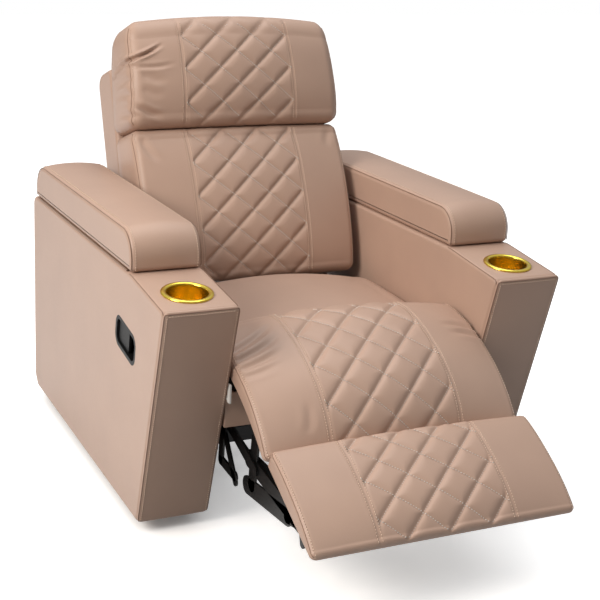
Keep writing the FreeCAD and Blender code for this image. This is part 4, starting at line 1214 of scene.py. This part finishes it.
def floor_material():
    """White floor paint. To the camera it adds its own white, so only shadow shows: the lamps' shadow, and a
    painted shadow where that white is dimmed as the object covers the sky.
    """
    material, tree = new_material("studio_floor")
    diffuse = add(tree, "BsdfDiffuse", {"Color": linear("#F4F4F4")})
    dim = add(tree, "BsdfDiffuse", {"Color": linear("#8C8C8C")})
    # Painted shadow: the floor's own white to the camera drops where occlusion finds the object near
    open_sky = add(tree, "AmbientOcclusion", {"Distance": SHADOW_REACH})
    limits = dict(zip(("From Min", "From Max", "To Min", "To Max"), OPEN_SKY + FLOOR_GLOW))
    level = add(tree, "MapRange", limits, {"Value": open_sky.outputs["AO"]})
    glow = add(tree, "Emission", {"Color": (1, 1, 1, 1)}, {"Strength": level.outputs[0]})
    path = add(tree, "LightPath").outputs
    seen = add(tree, "Math", {}, {0: path["Is Camera Ray"], 1: path["Is Glossy Ray"]},
               operation="MAXIMUM")
    both = add(tree, "AddShader", {}, {0: diffuse.outputs[0], 1: glow.outputs[0]})
    mix = add(tree, "MixShader", {}, {0: seen.outputs[0], 1: dim.outputs[0], 2: both.outputs[0]})
    finish_material(tree, mix)
    return material


def make_floor():
    """A seamless white floor."""
    mesh = bpy.data.meshes.new("floor")
    r = FLOOR_REACH
    mesh.from_pydata([(-r, -r, 0), (r, -r, 0), (r, r, 0), (-r, r, 0)], [], [(0, 1, 2, 3)])
    floor = placed("floor", mesh)
    floor.data.materials.append(floor_material())


def make_world(strength):
    """A white sky, brighter overhead and dimmed in front. The camera sees it as plain white."""
    world = bpy.data.worlds.new("studio")
    world.use_nodes = True
    tree = world.node_tree
    tree.nodes.clear()
    path = add(tree, "LightPath").outputs
    seen = add(tree, "Math", {}, {0: path["Is Camera Ray"], 1: path["Is Transmission Ray"]},
               operation="MAXIMUM")
    place = add(tree, "TexCoord")
    axes = add(tree, "SeparateXYZ", {}, {"Vector": place.outputs["Generated"]})
    rise = add(tree, "MapRange", {"To Min": SKY_RISE[0] * strength, "To Max": SKY_RISE[1] * strength},
               {"Value": axes.outputs["Z"]})
    limits = {"From Min": SKY_FRONT[0], "From Max": SKY_FRONT[1], "To Min": SKY_FRONT_LEVEL}
    front = add(tree, "MapRange", limits, {"Value": axes.outputs["Y"]})
    level = add(tree, "Math", {}, {0: rise.outputs[0], 1: front.outputs[0]}, operation="MULTIPLY")
    white = add(tree, "Math", {}, {0: level.outputs[0], 1: seen.outputs[0]}, operation="MAXIMUM")
    sky = add(tree, "Background", {"Color": (1, 1, 1, 1)}, {"Strength": white.outputs[0]})
    add(tree, "OutputWorld", links={"Surface": sky.outputs[0]})
    bpy.context.scene.world = world


class ColourSettings(bpy.types.PropertyGroup):
    light: FloatVectorProperty(name="Leather, light", description="Lighter tone of the leatherette",
                               subtype="COLOR", size=4, default=linear("#BEA08E"))
    shade: FloatVectorProperty(name="Leather, shade", description="Darker tone of the leatherette",
                               subtype="COLOR", size=4, default=linear("#B39686"))


class QuiltSettings(bpy.types.PropertyGroup):
    back_width: FloatProperty(name="Back panel", description="Width of the quilted panel of the back",
                              default=0.3, unit="LENGTH")
    seat_width: FloatProperty(name="Seat panel", description="Width of the quilted panel of the seat",
                              default=0.315, unit="LENGTH")
    diamond_width: FloatProperty(name="Diamond width", description="Width of one diamond", default=0.097,
                                 unit="LENGTH")
    diamond_length: FloatProperty(name="Diamond length", description="Length of one diamond", default=0.086,
                                  unit="LENGTH")


class StageSettings(bpy.types.PropertyGroup):
    key: FloatProperty(name="Key lamp", description="Power of the lamp on the left", default=119.0,
                       unit="POWER")
    top: FloatProperty(name="Top lamp", description="Power of the lamp overhead", default=52.0, unit="POWER")
    sky: FloatProperty(name="Sky", description="Brightness of the surroundings", default=0.45, min=0.0,
                       subtype="FACTOR")


class RECLINER_OT_frame(bpy.types.Operator):
    """Finish the steel, plastic and timber parts of the frame"""
    bl_idname = "recliner.frame"
    bl_label = "Finish the frame"

    def execute(self, context):
        finish_frame_nodes()
        make_mechanism()
        return {"FINISHED"}


class RECLINER_OT_arms(bpy.types.Operator):
    """Upholster the arms and set the cups in them"""
    bl_idname = "recliner.arms"
    bl_label = "Upholster the arms"

    def execute(self, context):
        for side in SIDES:
            upholster_arm(side)
            make_cup(side)
        return {"FINISHED"}


class RECLINER_OT_lids(bpy.types.Operator):
    """Sew the arm pads on the storage lids"""
    bl_idname = "recliner.lids"
    bl_label = "Sew the lids"

    def execute(self, context):
        for side in SIDES:
            make_lid(side)
        return {"FINISHED"}


class RECLINER_OT_back(bpy.types.Operator):
    """Upholster the back: its shell, lower cushion and headrest"""
    bl_idname = "recliner.back"
    bl_label = "Upholster the back"

    def execute(self, context):
        make_shell()
        make_lower_back()
        make_headrest()
        return {"FINISHED"}


class RECLINER_OT_seat(bpy.types.Operator):
    """Sew the seat cushion and the quilted chaise pad"""
    bl_idname = "recliner.seat"
    bl_label = "Sew the seat"

    def execute(self, context):
        make_seat_cushion()
        make_chaise()
        return {"FINISHED"}


class RECLINER_OT_footrest(bpy.types.Operator):
    """Sew the footrest's quilted cushion"""
    bl_idname = "recliner.footrest"
    bl_label = "Sew the footrest"

    def execute(self, context):
        make_footrest()
        return {"FINISHED"}


class RECLINER_OT_stage(bpy.types.Operator):
    """Set the floor, the lamps and the camera"""
    bl_idname = "recliner.stage"
    bl_label = "Set the stage"

    def execute(self, context):
        settings = context.scene.recliner_stage
        make_floor()
        make_world(settings.sky)
        lamp("key", settings.key, **KEY_LAMP)
        lamp("top", settings.top, **TOP_LAMP)
        make_camera()
        context.scene.view_settings.view_transform = "Standard"
        return {"FINISHED"}


OPERATORS = (RECLINER_OT_frame, RECLINER_OT_arms, RECLINER_OT_lids, RECLINER_OT_back, RECLINER_OT_seat,
             RECLINER_OT_footrest, RECLINER_OT_stage)
GROUPS = {
    "recliner_colours": ColourSettings,
    "recliner_quilt": QuiltSettings,
    "recliner_stage": StageSettings,
}


class RECLINER_PT_panel(bpy.types.Panel):
    """Steps and settings of the recliner"""
    bl_label = "Recliner"
    bl_idname = "RECLINER_PT_panel"
    bl_space_type = "VIEW_3D"
    bl_region_type = "UI"
    bl_category = "Recliner"

    def draw(self, context):
        for operator in OPERATORS:
            self.layout.operator(operator.bl_idname)
        for name, group in GROUPS.items():
            settings = getattr(context.scene, name)
            for field in group.__annotations__:
                self.layout.prop(settings, field)


CLASSES = (*GROUPS.values(), *OPERATORS, RECLINER_PT_panel)


def register():
    for cls in CLASSES:
        bpy.utils.register_class(cls)
    for name, group in GROUPS.items():
        setattr(bpy.types.Scene, name, PointerProperty(type=group))


def unregister():
    for name in GROUPS:
        delattr(bpy.types.Scene, name)
    for cls in reversed(CLASSES):
        bpy.utils.unregister_class(cls)


def main():
    """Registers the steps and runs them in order."""
    register()
    bpy.ops.recliner.stage()
    bpy.ops.recliner.frame()
    bpy.ops.recliner.arms()
    bpy.ops.recliner.lids()
    bpy.ops.recliner.back()
    bpy.ops.recliner.seat()
    bpy.ops.recliner.footrest()


if __name__ == "__main__":
    main()
